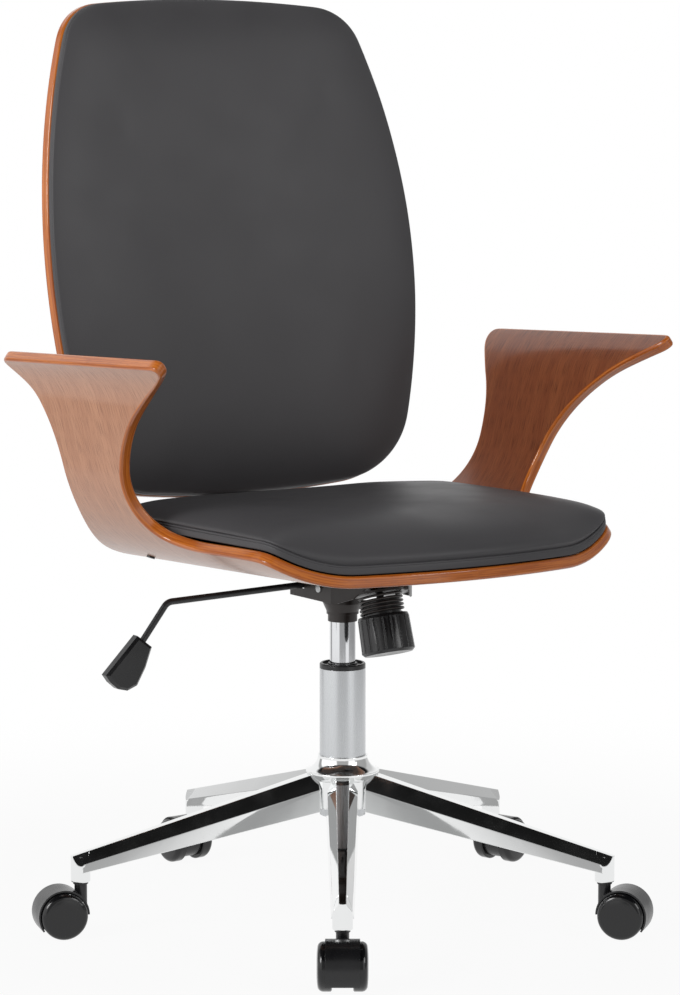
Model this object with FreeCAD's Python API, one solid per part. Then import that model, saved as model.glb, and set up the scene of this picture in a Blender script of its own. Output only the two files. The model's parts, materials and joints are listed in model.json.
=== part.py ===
import FreeCAD, Part
import math
import os

from FreeCAD import Vector

# Office chair on a five-leg base, in millimetres. The origin is on the floor on the
# column axis, +Z is up and the sitter faces -Y.

# Fits and cuts
running_fit = 0.08
seated_fit = 0.05
soft_gap = 0.3
loose_fit = 0.5
overrun = 2.0

# Casters
caster_count = 5
wheel_diameter = 50.0
wheel_width = 15.3
wheel_spacing = 21.4
wheel_web_thickness = 5.0
wheel_rim_thickness = 4.0
wheel_hub_diameter = 16.0
wheel_edge_bevel = 1.2
wheel_edge_round = 6.0
wheel_crown = 0.8
wheel_crown_share = 0.75
wheel_face_thickness = 2.0
caster_trail = 22.0
axle_diameter = 8.0
axle_end_gap = 0.6
hood_width = 35.0
hood_running_gap = 0.7
hood_thickness = 1.9
hood_side_gap = 0.5
hood_web_radius = 21.0
hood_boss_diameter = 13.5
hood_wrap_angle = 215.0
stem_diameter = 11.0
stem_bottom_height = 34.0
stem_collar_diameter = 16.0
stem_collar_thickness = 2.2

# Base
base_turn_angle = -123.0
caster_circle_radius = 293.7
socket_diameter = 21.0
socket_wheel_gap = 7.5
socket_height = 30.9
socket_roof = 4.0
socket_edge_round = 1.2
leg_tip_height = 20.0
leg_tip_width = 20.0
leg_rise = 71.0
leg_root_height = 41.0
leg_root_width = 33.0
leg_wall = 2.2
leg_root_bevel_width = 9.0
leg_root_bevel_height = 17.0
leg_tip_bevel_width = 6.2
leg_tip_bevel_height = 11.5
leg_draft = 1.6
hub_diameter = 66.0
hub_bottom_rise = 3.0
hub_body_drop = 8.0
hub_skirt_diameter = 80.0
hub_skirt_rise = 1.5
hub_skirt_edge = 2.0
hub_ring_diameter = 54.0
hub_ring_height = 3.0
hub_sweep_height = 16.5
hub_sweep_share = 0.36

# Column
column_tube_diameter = 50.0
column_tube_wall = 2.0
column_tube_drop = 10.0
column_tube_length = 161.5
column_floor_thickness = 3.0
bush_length = 72.0
bush_flange_height = 5.5
bush_recess_depth = 2.4
bush_recess_edge = 3.0
bush_bevel = 1.0
cylinder_diameter = 28.0
cylinder_wall = 2.0
cylinder_gland_length = 12.0
cylinder_head_rise = 3.0
cylinder_cap_length = 22.0
cylinder_taper = 0.5
lift_stroke = 80.0
rod_diameter = 10.0
rod_tail_length = 7.0
rod_shoulder_diameter = 18.0
rod_shoulder_height = 3.0
piston_height = 12.0
piston_clearance = 4.0
thrust_bearing_diameter = 30.0
thrust_bearing_height = 6.0
bumper_diameter = 24.0
bumper_height = 12.7
clip_diameter = 16.0
clip_thickness = 1.2
clip_groove_depth = 1.0
release_pin_diameter = 6.0
release_pin_length = 24.0
release_pin_gap = 0.202

# Seat frame
seat_underside_rise = 36.5
seat_pitch_angle = 2.0
tilt_pivot_depth = -35.0
tilt_pivot_rise = 14.0
plate_half_width = 72.0
plate_front = -98.0
plate_rear = 74.0
plate_thickness = 2.5
plate_corner_radius = 12.0
plate_bolt_half_width = 62.0
plate_bolt_front = -84.0
plate_bolt_rear = 58.0
ear_radius = 8.0
ear_thickness = 2.5

# Tilt mechanism
housing_half_width = 52.0
housing_sheet = 2.5
housing_rear = 24.0
housing_rear_height = 10.0
housing_nose_radius = 26.5
nose_half_width = 28.0
flange_turn_depth = -57.0
flange_front = -86.0
flange_front_rise = 17.0
flange_front_height = 6.0
flange_heel_depth = -62.0
flange_chin_depth = -76.0
flange_chin_rise = 6.0
flange_brow_depth = -33.0
flange_brow_rise = 24.0
pivot_pin_diameter = 8.0
pivot_head_diameter = 9.0
pivot_head_length = 2.0
sleeve_collar_diameter = 43.0
sleeve_collar_height = 10.0
sleeve_cone_height = 9.0
sleeve_waist_diameter = 35.0
sleeve_ring_height = 3.0
sleeve_neck_diameter = 32.0
sleeve_neck_length = 8.0
sleeve_taper_lead = 3.0
sleeve_bush_gap = 46.0
sleeve_rise = 2.0

# Tension spring and knob
spring_lean_angle = 16.2
knob_top_depth = -78.9
knob_drop = 14.0
knob_diameter = 55.0
knob_foot_diameter = 57.0
knob_height = 41.4
knob_flute_count = 20
knob_flute_radius = 1.5
knob_flute_sink = 0.5
knob_lip_diameter = 53.0
knob_lip_height = 3.0
knob_bore_depth = 30.0
knob_foot_bevel = 3.0
knob_boss_side_gap = 1.1
knob_boss_end_gap = 0.8
spring_outer_diameter = 48.0
spring_wire_diameter = 2.8
spring_turns = 5
spring_length = 23.2
spring_seat_gap = 0.2
spring_travel = 6.4
bolt_diameter = 8.0
bolt_knob_engagement = 26.0
bolt_eye_rise = 9.5
bolt_eye_diameter = 12.4
bolt_eye_width = 7.0
hook_pin_diameter = 6.0
hook_pin_length = 19.0
hook_pin_slack = 0.9
saddle_ear_thickness = 2.5
saddle_base_thickness = 1.5
saddle_half_length = 10.0
saddle_ear_radius = 6.5

# Release lever
lever_rod_diameter = 7.0
lever_pivot_inset = 30.0
lever_pivot_rise = 14.1
lever_droop_angle = 1.7
lever_tongue_reach = 18.0
lever_tongue_length = 30.0
lever_tongue_height = 4.2
lever_bend_inset = 218.8
lever_bend_radius = 12.0
lever_block_length = 12.0
lever_block_width = 12.0
lever_block_height = 9.2
trunnion_diameter = 5.0
trunnion_length = 5.0
cradle_ear_thickness = 3.0
cradle_ear_width = 11.0
cradle_ear_wall = 1.8
lever_slot_width = 8.0
handle_top_inset = 246.2
handle_top_drop = 40.3
handle_length = 57.0
handle_width = 38.0
handle_thickness = 15.0
handle_neck_width = 21.5
handle_angle = 52.0
handle_share_points = ((0.37, -0.46), (0.73, -0.54), (0.92, -0.37), (1.0, -0.1), (0.99, 0.2), (0.94, 0.45))
handle_edge = 3.0
handle_socket_depth = 16.0

# Seat and arms, one bent sheet
shell_thickness = 12.5
seat_flat_half_width = 130.0
arm_bend_radius = 146.5
arm_bend_angle = 75.0
arm_straight_length = 71.5
arm_flare_radius = 84.0
arm_flare_angle = 40.0
paddle_end_angle = 37.5
seat_front = -254.0
seat_front_bow_radius = 450.0
seat_front_corner_radius = 30.0
seat_front_half_width = 226.0
seat_rear = 182.0
arm_root_front = -44.0
arm_front_reach = 182.0
arm_low_rise = 39.5
arm_rear_reach = 165.0
arm_tip_rise = 236.5
arm_front_share_points = ((0.242, 0.0), (0.115, 0.02), (0.03, 0.09), (0.008, 0.2), (0.035, 0.33),
                          (0.125, 0.47), (0.29, 0.62), (0.55, 0.77), (0.8, 0.875), (0.92, 0.925),
                          (0.975, 0.958), (0.955, 0.99), (0.86, 1.01))
arm_rear_share_points = ((0.95, 0.91), (0.83, 0.79), (0.735, 0.63), (0.7, 0.46), (0.715, 0.28),
                         (0.775, 0.13), (0.91, 0.0), (1.103, -0.12))

# Seat cushion
cushion_half_width = 229.0
cushion_front = -252.0
cushion_front_bow_radius = 446.0
cushion_corner_radius = 52.0
cushion_rear = 168.0
cushion_top_rise = 67.5
cushion_front_fall = 120.0
cushion_side_fall = 62.0
cushion_rear_fall = 44.0
cushion_level_shares = ((0.0, 0.03), (0.25, 0.01), (0.5, 0.0), (0.68, 0.035), (0.81, 0.12), (0.9, 0.28),
                        (0.96, 0.52), (1.0, 0.9))

# Back
back_bottom_rise = 48.8
back_bottom_depth = 212.0
back_recline_angle = 9.2
back_height = 565.7
back_half_width = 235.6
back_curve_radius = 812.0
back_thickness = 12.0
back_top_share = 0.605
back_top_bow_share = 0.0158
back_side_high_share = 0.9126
back_side_high_width_share = 0.818
back_side_mid_share = 0.41
back_side_low_share = 0.1355
back_side_low_width_share = 0.9046
back_low_share = 0.56
back_low_bow_share = 0.0118
back_high_corner_shares = (0.7485, 0.9564)
back_low_corner_shares = (0.7431, 0.0395)
back_cushion_inset = 1.5
back_cushion_depth = 32.0
back_cushion_shares = ((0.0, 0.004), (0.25, 0.0), (0.45, 0.008), (0.62, 0.03), (0.77, 0.075), (0.88, 0.15),
                       (0.96, 0.26), (1.0, 0.42))

# Back bracket and fasteners
bracket_width = 70.0
bracket_thickness = 6.0
bracket_front = 82.0
bracket_bend_radius = 12.0
bracket_rise = 165.0
bracket_bolt_half_width = 20.0
bracket_bolt_depths = (104.0, 150.0)
back_bolt_rises = (62.0, 138.0)
screw_diameter = 6.0
screw_head_diameter = 12.0
screw_head_height = 3.4
screw_end_inset = 2.0
tee_barrel_diameter = 8.0
tee_barrel_length = 9.0
tee_flange_diameter = 17.0
tee_flange_thickness = 1.2
tee_recess = 1.5
cushion_screw_diameter = 4.0
cushion_screw_head_diameter = 9.0
cushion_screw_head_height = 2.0
cushion_screw_rear_angle = 21.0
cushion_screw_front_angle = 2.0
cushion_screw_rear_depth = 93.0
cushion_screw_front_depth = -120.0

# Sizes that follow from the ones above
X_AXIS = Vector(1, 0, 0)
Y_AXIS = Vector(0, 1, 0)
Z_AXIS = Vector(0, 0, 1)
ORIGIN = Vector(0, 0, 0)
wheel_radius = wheel_diameter / 2
socket_bottom_height = wheel_diameter + socket_wheel_gap
leg_tip_top_height = socket_bottom_height + socket_height
leg_root_top_height = leg_tip_top_height + leg_rise
hub_bottom_height = leg_root_top_height - leg_root_height + hub_bottom_rise
hub_body_top_height = leg_root_top_height - hub_body_drop
hub_skirt_height = leg_root_top_height + hub_skirt_rise
hub_top_height = hub_skirt_height + hub_sweep_height
column_tube_bottom_height = hub_bottom_height - column_tube_drop
column_tube_top_height = column_tube_bottom_height + column_tube_length
sleeve_bottom_height = column_tube_top_height + bush_flange_height + sleeve_bush_gap
sleeve_ring_base = sleeve_bottom_height + sleeve_neck_length
sleeve_cone_base = sleeve_ring_base + sleeve_ring_height
sleeve_cone_top = sleeve_cone_base + sleeve_cone_height
housing_bottom_height = sleeve_cone_top + sleeve_collar_height
cylinder_top_height = housing_bottom_height + cylinder_head_rise
cylinder_taper_length = cylinder_top_height - sleeve_bottom_height - sleeve_taper_lead
column_floor_top = column_tube_bottom_height + column_floor_thickness
bearing_top = column_floor_top + thrust_bearing_height
shoulder_top = bearing_top + running_fit + rod_shoulder_height
bumper_top = shoulder_top + bumper_height
cylinder_bottom = bumper_top + soft_gap
piston_bottom = cylinder_bottom + cylinder_gland_length + lift_stroke + piston_clearance
tilt_pivot_height = housing_bottom_height + tilt_pivot_rise
housing_rear_top_height = housing_bottom_height + housing_rear_height
flange_chin_height = housing_bottom_height + flange_chin_rise
flange_front_bottom_height = housing_bottom_height + flange_front_rise
flange_front_top_height = flange_front_bottom_height + flange_front_height
flange_brow_height = housing_bottom_height + flange_brow_rise
knob_top_height = housing_bottom_height - knob_drop
lever_droop = math.radians(lever_droop_angle)
lever_pivot_height = housing_bottom_height + lever_pivot_rise
cradle_ear_top_height = lever_pivot_height + trunnion_diameter / 2 + cradle_ear_wall
handle_top_height = lever_pivot_height - handle_top_drop
tongue_rise = (lever_pivot_inset - release_pin_diameter / 2) * math.sin(lever_droop)
tongue_underside = lever_pivot_height + tongue_rise - lever_tongue_height / 2 * math.cos(lever_droop)
release_pin_top_height = tongue_underside - release_pin_gap
seat_underside_height = housing_bottom_height + seat_underside_rise
arm_low_height = seat_underside_height + arm_low_rise
arm_tip_height = seat_underside_height + arm_tip_rise
cushion_top_height = seat_underside_height + cushion_top_rise
back_bottom_height = seat_underside_height + back_bottom_rise
shell_top_height = seat_underside_height + shell_thickness
shell_mid_height = seat_underside_height + shell_thickness / 2
spring_lean = math.radians(spring_lean_angle)
spring_up = Vector(0, math.sin(spring_lean), math.cos(spring_lean))
knob_top = Vector(0, knob_top_depth, knob_top_height)
spring_base = knob_top
spring_roof = knob_top + spring_up * (spring_length + spring_seat_gap * 2)
eye_centre = spring_roof + spring_up * bolt_eye_rise


def disc(radius, height, base=ORIGIN, axis=Z_AXIS):
    """A cylinder from its base centre along an axis."""
    return Part.makeCylinder(radius, height, base, axis)


def ring(outer_radius, inner_radius, height, base=ORIGIN, axis=Z_AXIS):
    """A plain ring, cut through past both faces."""
    hole = disc(inner_radius, height + overrun * 2, base - axis * overrun, axis)
    return disc(outer_radius, height, base, axis).cut(hole)


def box_between(low, high):
    """A box from its lowest to its highest corner."""
    size = high - low
    return Part.makeBox(size.x, size.y, size.z, low)


def closed_face(points):
    """A flat face through points, closed back to the first one."""
    return Part.Face(Part.makePolygon(list(points) + [points[0]]))


def turned(points):
    """A solid turned about the Z axis from (radius, height) points."""
    outline = closed_face([Vector(radius, 0, height) for radius, height in points])
    return outline.revolve(ORIGIN, Z_AXIS, 360)


def moved(shape, offset):
    """A copy of a shape, moved."""
    copy = shape.copy()
    copy.translate(offset)
    return copy


def spun(shape, angle, centre=ORIGIN, axis=Z_AXIS):
    """A copy of a shape, turned by an angle in degrees."""
    copy = shape.copy()
    copy.rotate(centre, axis, angle)
    return copy


def mirrored_x(shape):
    """A copy of a shape on the other side of the chair's middle plane."""
    return shape.mirror(ORIGIN, X_AXIS)


def pitched(shape):
    """A level shape, laid back to the seat's pitch with its front edge up."""
    return spun(shape, -seat_pitch_angle, Vector(0, 0, seat_underside_height), X_AXIS)


def reclined(shape):
    """A shape drawn in the back's own frame, set in its place on the chair."""
    placed = spun(shape, -back_recline_angle, ORIGIN, X_AXIS)
    return moved(placed, Vector(0, back_bottom_depth, back_bottom_height))


def on_leg(shape, index):
    """A copy of a shape drawn along +X, turned to one leg of the base."""
    return spun(shape, base_turn_angle + index * 360 / caster_count)


def arc(first, middle, last):
    """A round edge through three points."""
    return Part.Arc(first, middle, last).toShape()


def smooth_edge(points):
    """One smooth edge through points."""
    curve = Part.BSplineCurve()
    curve.interpolate(points)
    return curve.toShape()


# Casters, drawn with the stem on the Z axis and the wheels behind it along +X

def make_wheel(side):
    """One wheel of a pair: a domed disc with a closed outer face, a tread ring and a hub."""
    inner_face = side * wheel_spacing / 2
    hub = wheel_hub_diameter / 2
    rim = wheel_radius - wheel_rim_thickness
    bore = axle_diameter / 2 + running_fit
    web = wheel_width - wheel_web_thickness
    floor = wheel_width - wheel_face_thickness
    shoulder = wheel_width - wheel_crown
    round_centre = Vector(wheel_radius - wheel_edge_round, 0, shoulder - wheel_edge_round)
    round_middle = round_centre + Vector(math.sqrt(0.5), 0, math.sqrt(0.5)) * wheel_edge_round
    corners = [Vector(0, 0, floor), Vector(bore, 0, floor), Vector(bore, 0, 0), Vector(hub, 0, 0),
               Vector(hub, 0, web), Vector(rim, 0, web), Vector(rim, 0, 0),
               Vector(wheel_radius - wheel_edge_bevel, 0, 0), Vector(wheel_radius, 0, wheel_edge_bevel),
               Vector(wheel_radius, 0, shoulder - wheel_edge_round)]
    face_start = Vector(wheel_radius - wheel_edge_round, 0, shoulder)
    face_middle = Vector((face_start.x + hub) / 2, 0, shoulder + wheel_crown * wheel_crown_share)
    face_end = Vector(hub, 0, wheel_width)
    face_centre = Vector(0, 0, wheel_width)
    edges = [Part.makeLine(a, b) for a, b in zip(corners, corners[1:])]
    edges += [arc(corners[-1], round_middle, face_start), arc(face_start, face_middle, face_end),
              Part.makeLine(face_end, face_centre), Part.makeLine(face_centre, corners[0])]
    wheel = Part.Face(Part.Wire(edges)).revolve(ORIGIN, Z_AXIS, 360)
    wheel = spun(wheel, -90 * side, ORIGIN, X_AXIS)
    return moved(wheel, Vector(caster_trail, inner_face, wheel_radius))


def make_axle():
    """The steel axle that both wheels turn on."""
    half_length = wheel_spacing / 2 + wheel_width - wheel_face_thickness - axle_end_gap
    start = Vector(caster_trail, -half_length, wheel_radius)
    return disc(axle_diameter / 2, half_length * 2, start, Y_AXIS)


def make_hood():
    """The hood: a web between the wheels, a fender over them and the stem boss."""
    centre = Vector(caster_trail, 0, wheel_radius)
    inner = wheel_radius + hood_running_gap
    outer = inner + hood_thickness
    web_half = wheel_spacing / 2 - hood_side_gap

    def sector(near, far, half_width):
        turns = ((near, -half_width), (far, -half_width), (far, half_width), (near, half_width))
        corners = [centre + Vector(-reach, across, 0) for reach, across in turns]
        return closed_face(corners).revolve(centre, Y_AXIS, hood_wrap_angle)

    fender = sector(inner, outer, hood_width / 2)
    core = disc(hood_web_radius, web_half * 2, centre - Y_AXIS * web_half, Y_AXIS)
    web = sector(0, outer, web_half).fuse(core)
    boss_base = wheel_radius
    boss_top = socket_bottom_height - stem_collar_thickness - soft_gap
    boss = disc(hood_boss_diameter / 2, boss_top - boss_base, Vector(0, 0, boss_base))
    wheel_space = disc(inner, hood_width, centre - Y_AXIS * hood_width / 2, Y_AXIS).cut(
        disc(inner, web_half * 2, centre - Y_AXIS * web_half, Y_AXIS))
    hood = fender.fuse(web).fuse(boss.cut(wheel_space))
    stem_hole = disc(stem_diameter / 2 + seated_fit, boss_top, Vector(0, 0, stem_bottom_height))
    axle_hole = disc(axle_diameter / 2 + seated_fit, hood_width + overrun * 2,
                     centre - Y_AXIS * (hood_width / 2 + overrun), Y_AXIS)
    return hood.cut(stem_hole).cut(axle_hole).removeSplitter()


def make_stem():
    """The steel stem, with the collar that carries the base's socket."""
    top = leg_tip_top_height - socket_roof - loose_fit
    stem = disc(stem_diameter / 2, top - stem_bottom_height, Vector(0, 0, stem_bottom_height))
    collar_base = socket_bottom_height - stem_collar_thickness - running_fit
    collar = disc(stem_collar_diameter / 2, stem_collar_thickness, Vector(0, 0, collar_base))
    return stem.fuse(collar)


# Base

def leg_section(reach, width, top, bottom, bevel, inset):
    """One cross-section of a leg: drafted sides, two steep bevels and a flat ridge."""
    bevel_width, bevel_height = bevel
    half = width / 2 - inset
    foot = half + leg_draft
    ridge = width / 2 - bevel_width - inset / 2
    roof = top - inset
    eave = top - bevel_height - inset / 2
    floor = bottom - (overrun if inset else 0)
    corners = [(-foot, floor), (foot, floor), (half, eave), (ridge, roof), (-ridge, roof), (-half, eave)]
    points = [Vector(reach, across, height) for across, height in corners]
    return Part.makePolygon(points + points[:1])


def leg_body(inset):
    """The tapered body of a leg, or with an inset the hollow under it."""
    root = leg_section(hub_diameter / 2 - hub_skirt_edge, leg_root_width, leg_root_top_height,
                       leg_root_top_height - leg_root_height, (leg_root_bevel_width, leg_root_bevel_height),
                       inset)
    tip = leg_section(caster_circle_radius, leg_tip_width, leg_tip_top_height,
                      leg_tip_top_height - leg_tip_height, (leg_tip_bevel_width, leg_tip_bevel_height),
                      inset)
    return Part.makeLoft([root, tip], True, True)


def socket_roof_space():
    """The space under a leg's ridge and bevels, carried on over the whole caster socket."""
    reach = socket_diameter / 2 + overrun
    ridge = leg_tip_width / 2 - leg_tip_bevel_width
    fall = (reach - ridge) * leg_tip_bevel_height / leg_tip_bevel_width
    bottom = socket_bottom_height - overrun
    run = caster_circle_radius - hub_diameter / 2 + hub_skirt_edge
    slope = (leg_root_top_height - leg_tip_top_height) / run
    sections = []
    for place in (caster_circle_radius - reach, caster_circle_radius + reach):
        top = leg_tip_top_height - (place - caster_circle_radius) * slope
        corners = [(-reach, bottom), (reach, bottom), (reach, top - fall), (ridge, top), (-ridge, top),
                   (-reach, top - fall)]
        points = [Vector(place, across, height) for across, height in corners]
        sections.append(Part.makePolygon(points + points[:1]))
    return Part.makeLoft(sections, True, True)


def make_leg(hub_envelope):
    """One leg: a pressed channel, open below, with the caster socket at its tip."""
    channel = leg_body(0).cut(leg_body(leg_wall))
    tip = Vector(caster_circle_radius, 0, socket_bottom_height)
    height = leg_tip_top_height + socket_diameter - socket_bottom_height
    socket = disc(socket_diameter / 2, height, tip)
    foot_edges = [edge for edge in socket.Edges
                  if abs(edge.CenterOfMass.z - socket_bottom_height) < running_fit and edge.Closed]
    socket = socket.makeFillet(socket_edge_round, foot_edges).common(socket_roof_space())
    inside = disc(socket_diameter / 2 - leg_wall / 2, height, tip)
    leg = channel.cut(inside).fuse(socket)
    hole = disc(stem_diameter / 2 + running_fit,
                leg_tip_top_height - socket_roof - socket_bottom_height + overrun,
                tip - Z_AXIS * overrun)
    return leg.cut(hole).cut(hub_envelope).removeSplitter()


def hub_outline(bore):
    """The hub's turned outline: a straight body, a skirt, and a sweep up to the top ring."""
    body = hub_diameter / 2
    skirt = hub_skirt_diameter / 2
    ring_radius = hub_ring_diameter / 2
    ring_foot = hub_top_height - hub_ring_height
    sweep_radius = ring_radius + (skirt - ring_radius) * hub_sweep_share
    sweep_height = hub_skirt_height + (ring_foot - hub_skirt_height) * hub_sweep_share
    corners = [Vector(bore, 0, hub_bottom_height), Vector(body, 0, hub_bottom_height),
               Vector(body, 0, hub_body_top_height),
               Vector(skirt, 0, hub_skirt_height - hub_skirt_edge), Vector(skirt, 0, hub_skirt_height),
               Vector(ring_radius, 0, ring_foot), Vector(ring_radius, 0, hub_top_height),
               Vector(bore, 0, hub_top_height)]
    edges = [Part.makeLine(a, b) for a, b in zip(corners[:4], corners[1:5])]
    edges.append(arc(corners[4], Vector(sweep_radius, 0, sweep_height), corners[5]))
    edges += [Part.makeLine(a, b) for a, b in zip(corners[5:], corners[6:] + corners[:1])]
    return Part.Face(Part.Wire(edges))


def make_hub():
    """The hub that the legs are welded to, bored for the column tube."""
    bore = column_tube_diameter / 2 + seated_fit
    return hub_outline(bore).revolve(ORIGIN, Z_AXIS, 360)


def make_hub_envelope():
    """The space that the hub fills, bore and all, with nothing of a leg inside it."""
    return hub_outline(0).revolve(ORIGIN, Z_AXIS, 360)


# Column

def make_column_tube():
    """The outer tube of the column, with the floor that carries the gas spring."""
    length = column_tube_top_height - column_tube_bottom_height
    tube = disc(column_tube_diameter / 2, length, Vector(0, 0, column_tube_bottom_height))
    inside = disc(column_tube_diameter / 2 - column_tube_wall, length, Vector(0, 0, column_floor_top))
    hole = disc(rod_diameter / 2 + running_fit, column_floor_thickness + overrun * 2,
                Vector(0, 0, column_tube_bottom_height - overrun))
    return tube.cut(inside).cut(hole)


def make_guide_bush():
    """The plastic bush that guides the gas cylinder, with its flange on the tube's rim."""
    outer = column_tube_diameter / 2 - column_tube_wall - seated_fit
    inner = cylinder_diameter / 2 + running_fit
    flange = column_tube_diameter / 2
    foot = column_tube_top_height - bush_length
    top = column_tube_top_height + bush_flange_height
    recess_outer = flange - bush_recess_edge
    recess_inner = inner + bush_recess_edge / 2
    outline = [(inner, foot), (outer, foot), (outer, column_tube_top_height),
               (flange, column_tube_top_height), (flange, top - bush_bevel), (flange - bush_bevel, top),
               (recess_outer, top), (recess_outer, top - bush_recess_depth),
               (recess_inner, top - bush_recess_depth), (recess_inner, top), (inner, top)]
    return turned(outline)


def make_thrust_bearing():
    """The thrust bearing under the piston rod's shoulder."""
    return ring(thrust_bearing_diameter / 2, rod_diameter / 2 + running_fit, thrust_bearing_height,
                Vector(0, 0, column_floor_top))


def make_piston_rod():
    """The piston rod: tail, shoulder, rod and piston head."""
    tail = column_tube_bottom_height - rod_tail_length
    rod = disc(rod_diameter / 2, piston_bottom - tail, Vector(0, 0, tail))
    shoulder = disc(rod_shoulder_diameter / 2, rod_shoulder_height, Vector(0, 0, bearing_top + running_fit))
    piston = disc(cylinder_diameter / 2 - cylinder_wall - running_fit, piston_height,
                  Vector(0, 0, piston_bottom))
    clip_base = column_tube_bottom_height - clip_thickness - running_fit
    groove = ring(rod_diameter, rod_diameter / 2 - clip_groove_depth, clip_thickness,
                  Vector(0, 0, clip_base))
    return rod.cut(groove).fuse(shoulder).fuse(piston)


def make_rod_clip():
    """The clip that keeps the rod's tail in the column's floor."""
    clip_base = column_tube_bottom_height - clip_thickness - running_fit
    return ring(clip_diameter / 2, rod_diameter / 2 - clip_groove_depth, clip_thickness,
                Vector(0, 0, clip_base))


def make_rod_bumper():
    """The rubber bumper that the cylinder comes down on."""
    return ring(bumper_diameter / 2, rod_diameter / 2 + seated_fit, bumper_height,
                Vector(0, 0, shoulder_top))


def cylinder_taper_outline(gap):
    """Radii and heights of the cylinder's tapered head, with a gap round it."""
    taper_base = cylinder_top_height - cylinder_taper_length
    return [(cylinder_diameter / 2 + gap, taper_base),
            (cylinder_diameter / 2 - cylinder_taper + gap, cylinder_top_height)]


def make_gas_cylinder():
    """The gas cylinder: gland, barrel and tapered head with the valve bore."""
    outer = cylinder_diameter / 2
    inner = outer - cylinder_wall
    gland_top = cylinder_bottom + cylinder_gland_length
    cap_base = cylinder_top_height - cylinder_cap_length
    rod_hole = rod_diameter / 2 + running_fit
    pin_hole = release_pin_diameter / 2 + running_fit
    outline = [(rod_hole, cylinder_bottom), (outer, cylinder_bottom)] + cylinder_taper_outline(0)
    outline += [(pin_hole, cylinder_top_height), (pin_hole, cap_base), (inner, cap_base),
                (inner, gland_top), (rod_hole, gland_top)]
    return turned(outline)


def make_release_pin():
    """The valve pin that the lever's tongue presses."""
    foot = release_pin_top_height - release_pin_length
    return disc(release_pin_diameter / 2, release_pin_length, Vector(0, 0, foot))


# Tilt mechanism

def make_taper_sleeve():
    """The tapered socket that holds the gas cylinder's head under the housing."""
    collar = sleeve_collar_diameter / 2
    waist = sleeve_waist_diameter / 2
    neck = sleeve_neck_diameter / 2
    taper_foot, taper_top = cylinder_taper_outline(seated_fit)
    rise = housing_bottom_height + housing_sheet + sleeve_rise
    share = (rise - taper_foot[1]) / cylinder_taper_length
    rise_bore = taper_foot[0] - cylinder_taper * share
    outline = [(taper_foot[0], sleeve_bottom_height), (neck, sleeve_bottom_height), (neck, sleeve_ring_base),
               (waist, sleeve_ring_base), (waist, sleeve_cone_base), (collar, sleeve_cone_top),
               (collar, housing_bottom_height), (neck, housing_bottom_height), (neck, rise),
               (rise_bore, rise),
               taper_foot]
    return turned(outline)


def spring_disc(radius, height, base, outward=spring_up):
    """A disc square to the tension spring's axis."""
    return disc(radius, height, base, outward)


def housing_plan(inset, extra):
    """The housing seen from above: parallel at its rear, drawn in towards its nose."""
    rear_half = housing_half_width - inset
    lean = (housing_half_width - nose_half_width) / (flange_turn_depth - flange_front)
    turn = flange_turn_depth - inset * (math.sqrt(1 + lean ** 2) - 1) / lean
    front_half = rear_half - lean * (turn - flange_front + extra)
    half = [(rear_half, housing_rear + extra), (rear_half, turn), (front_half, flange_front - extra)]
    outline = half + [(-across, depth) for across, depth in reversed(half)]
    base = housing_bottom_height - overrun
    face = closed_face([Vector(across, depth, base) for across, depth in outline])
    return face.extrude(Z_AXIS * (flange_brow_height - base + overrun))


def make_housing():
    """The pressed housing: two flanges, a floor, the sloping spring shelf and the lever's cradle."""
    outer = housing_half_width
    slope = math.tan(spring_lean)
    heel = spring_roof.y + (spring_roof.z - housing_bottom_height) / slope
    roof_rise = housing_sheet / math.cos(spring_lean)
    shelf_rise = housing_sheet * math.tan(spring_lean / 2)
    shelf_front = spring_roof.y - housing_nose_radius / 2
    front_drop = (spring_roof.y - shelf_front) * slope
    pan = closed_face([Vector(0, housing_rear, housing_bottom_height),
                       Vector(0, housing_rear, housing_bottom_height + housing_sheet),
                       Vector(0, heel + shelf_rise, housing_bottom_height + housing_sheet),
                       Vector(0, shelf_front, spring_roof.z + front_drop + roof_rise),
                       Vector(0, shelf_front, spring_roof.z + front_drop),
                       Vector(0, heel, housing_bottom_height)])
    pan = moved(pan.extrude(X_AXIS * outer * 2), X_AXIS * -outer)
    nose = spring_disc(housing_nose_radius, housing_sheet, spring_roof)
    flange = closed_face([Vector(outer, housing_rear, housing_bottom_height),
                          Vector(outer, flange_heel_depth, housing_bottom_height),
                          Vector(outer, flange_chin_depth, flange_chin_height),
                          Vector(outer, flange_front, flange_front_bottom_height),
                          Vector(outer, flange_front, flange_front_top_height),
                          Vector(outer, flange_brow_depth, flange_brow_height),
                          Vector(outer, housing_rear, housing_rear_top_height)])
    flanges = flange.extrude(X_AXIS * -outer * 2).common(housing_plan(0, 0))
    flanges = flanges.cut(housing_plan(housing_sheet, overrun))
    housing = pan.common(housing_plan(0, 0)).fuse(nose).fuse(flanges)
    pivot = Vector(-outer - overrun, tilt_pivot_depth, tilt_pivot_height)
    housing = housing.cut(disc(pivot_pin_diameter / 2 + seated_fit, (outer + overrun) * 2, pivot, X_AXIS))
    sleeve_hole = disc(sleeve_neck_diameter / 2 + seated_fit, housing_sheet + overrun * 2,
                       Vector(0, 0, housing_bottom_height - overrun))
    bolt_hole = spring_disc(bolt_diameter / 2 + loose_fit * 2, housing_sheet + overrun * 2,
                            spring_roof - spring_up * overrun)
    slot_floor = lever_pivot_height - lever_rod_diameter / 2 - loose_fit * 3
    slot = box_between(Vector(-outer - overrun, -lever_slot_width / 2, slot_floor),
                       Vector(-outer + housing_sheet + overrun, lever_slot_width / 2, flange_brow_height))
    housing = housing.cut(sleeve_hole).cut(bolt_hole).cut(slot)
    return housing.fuse(make_cradle()).removeSplitter()


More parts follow.
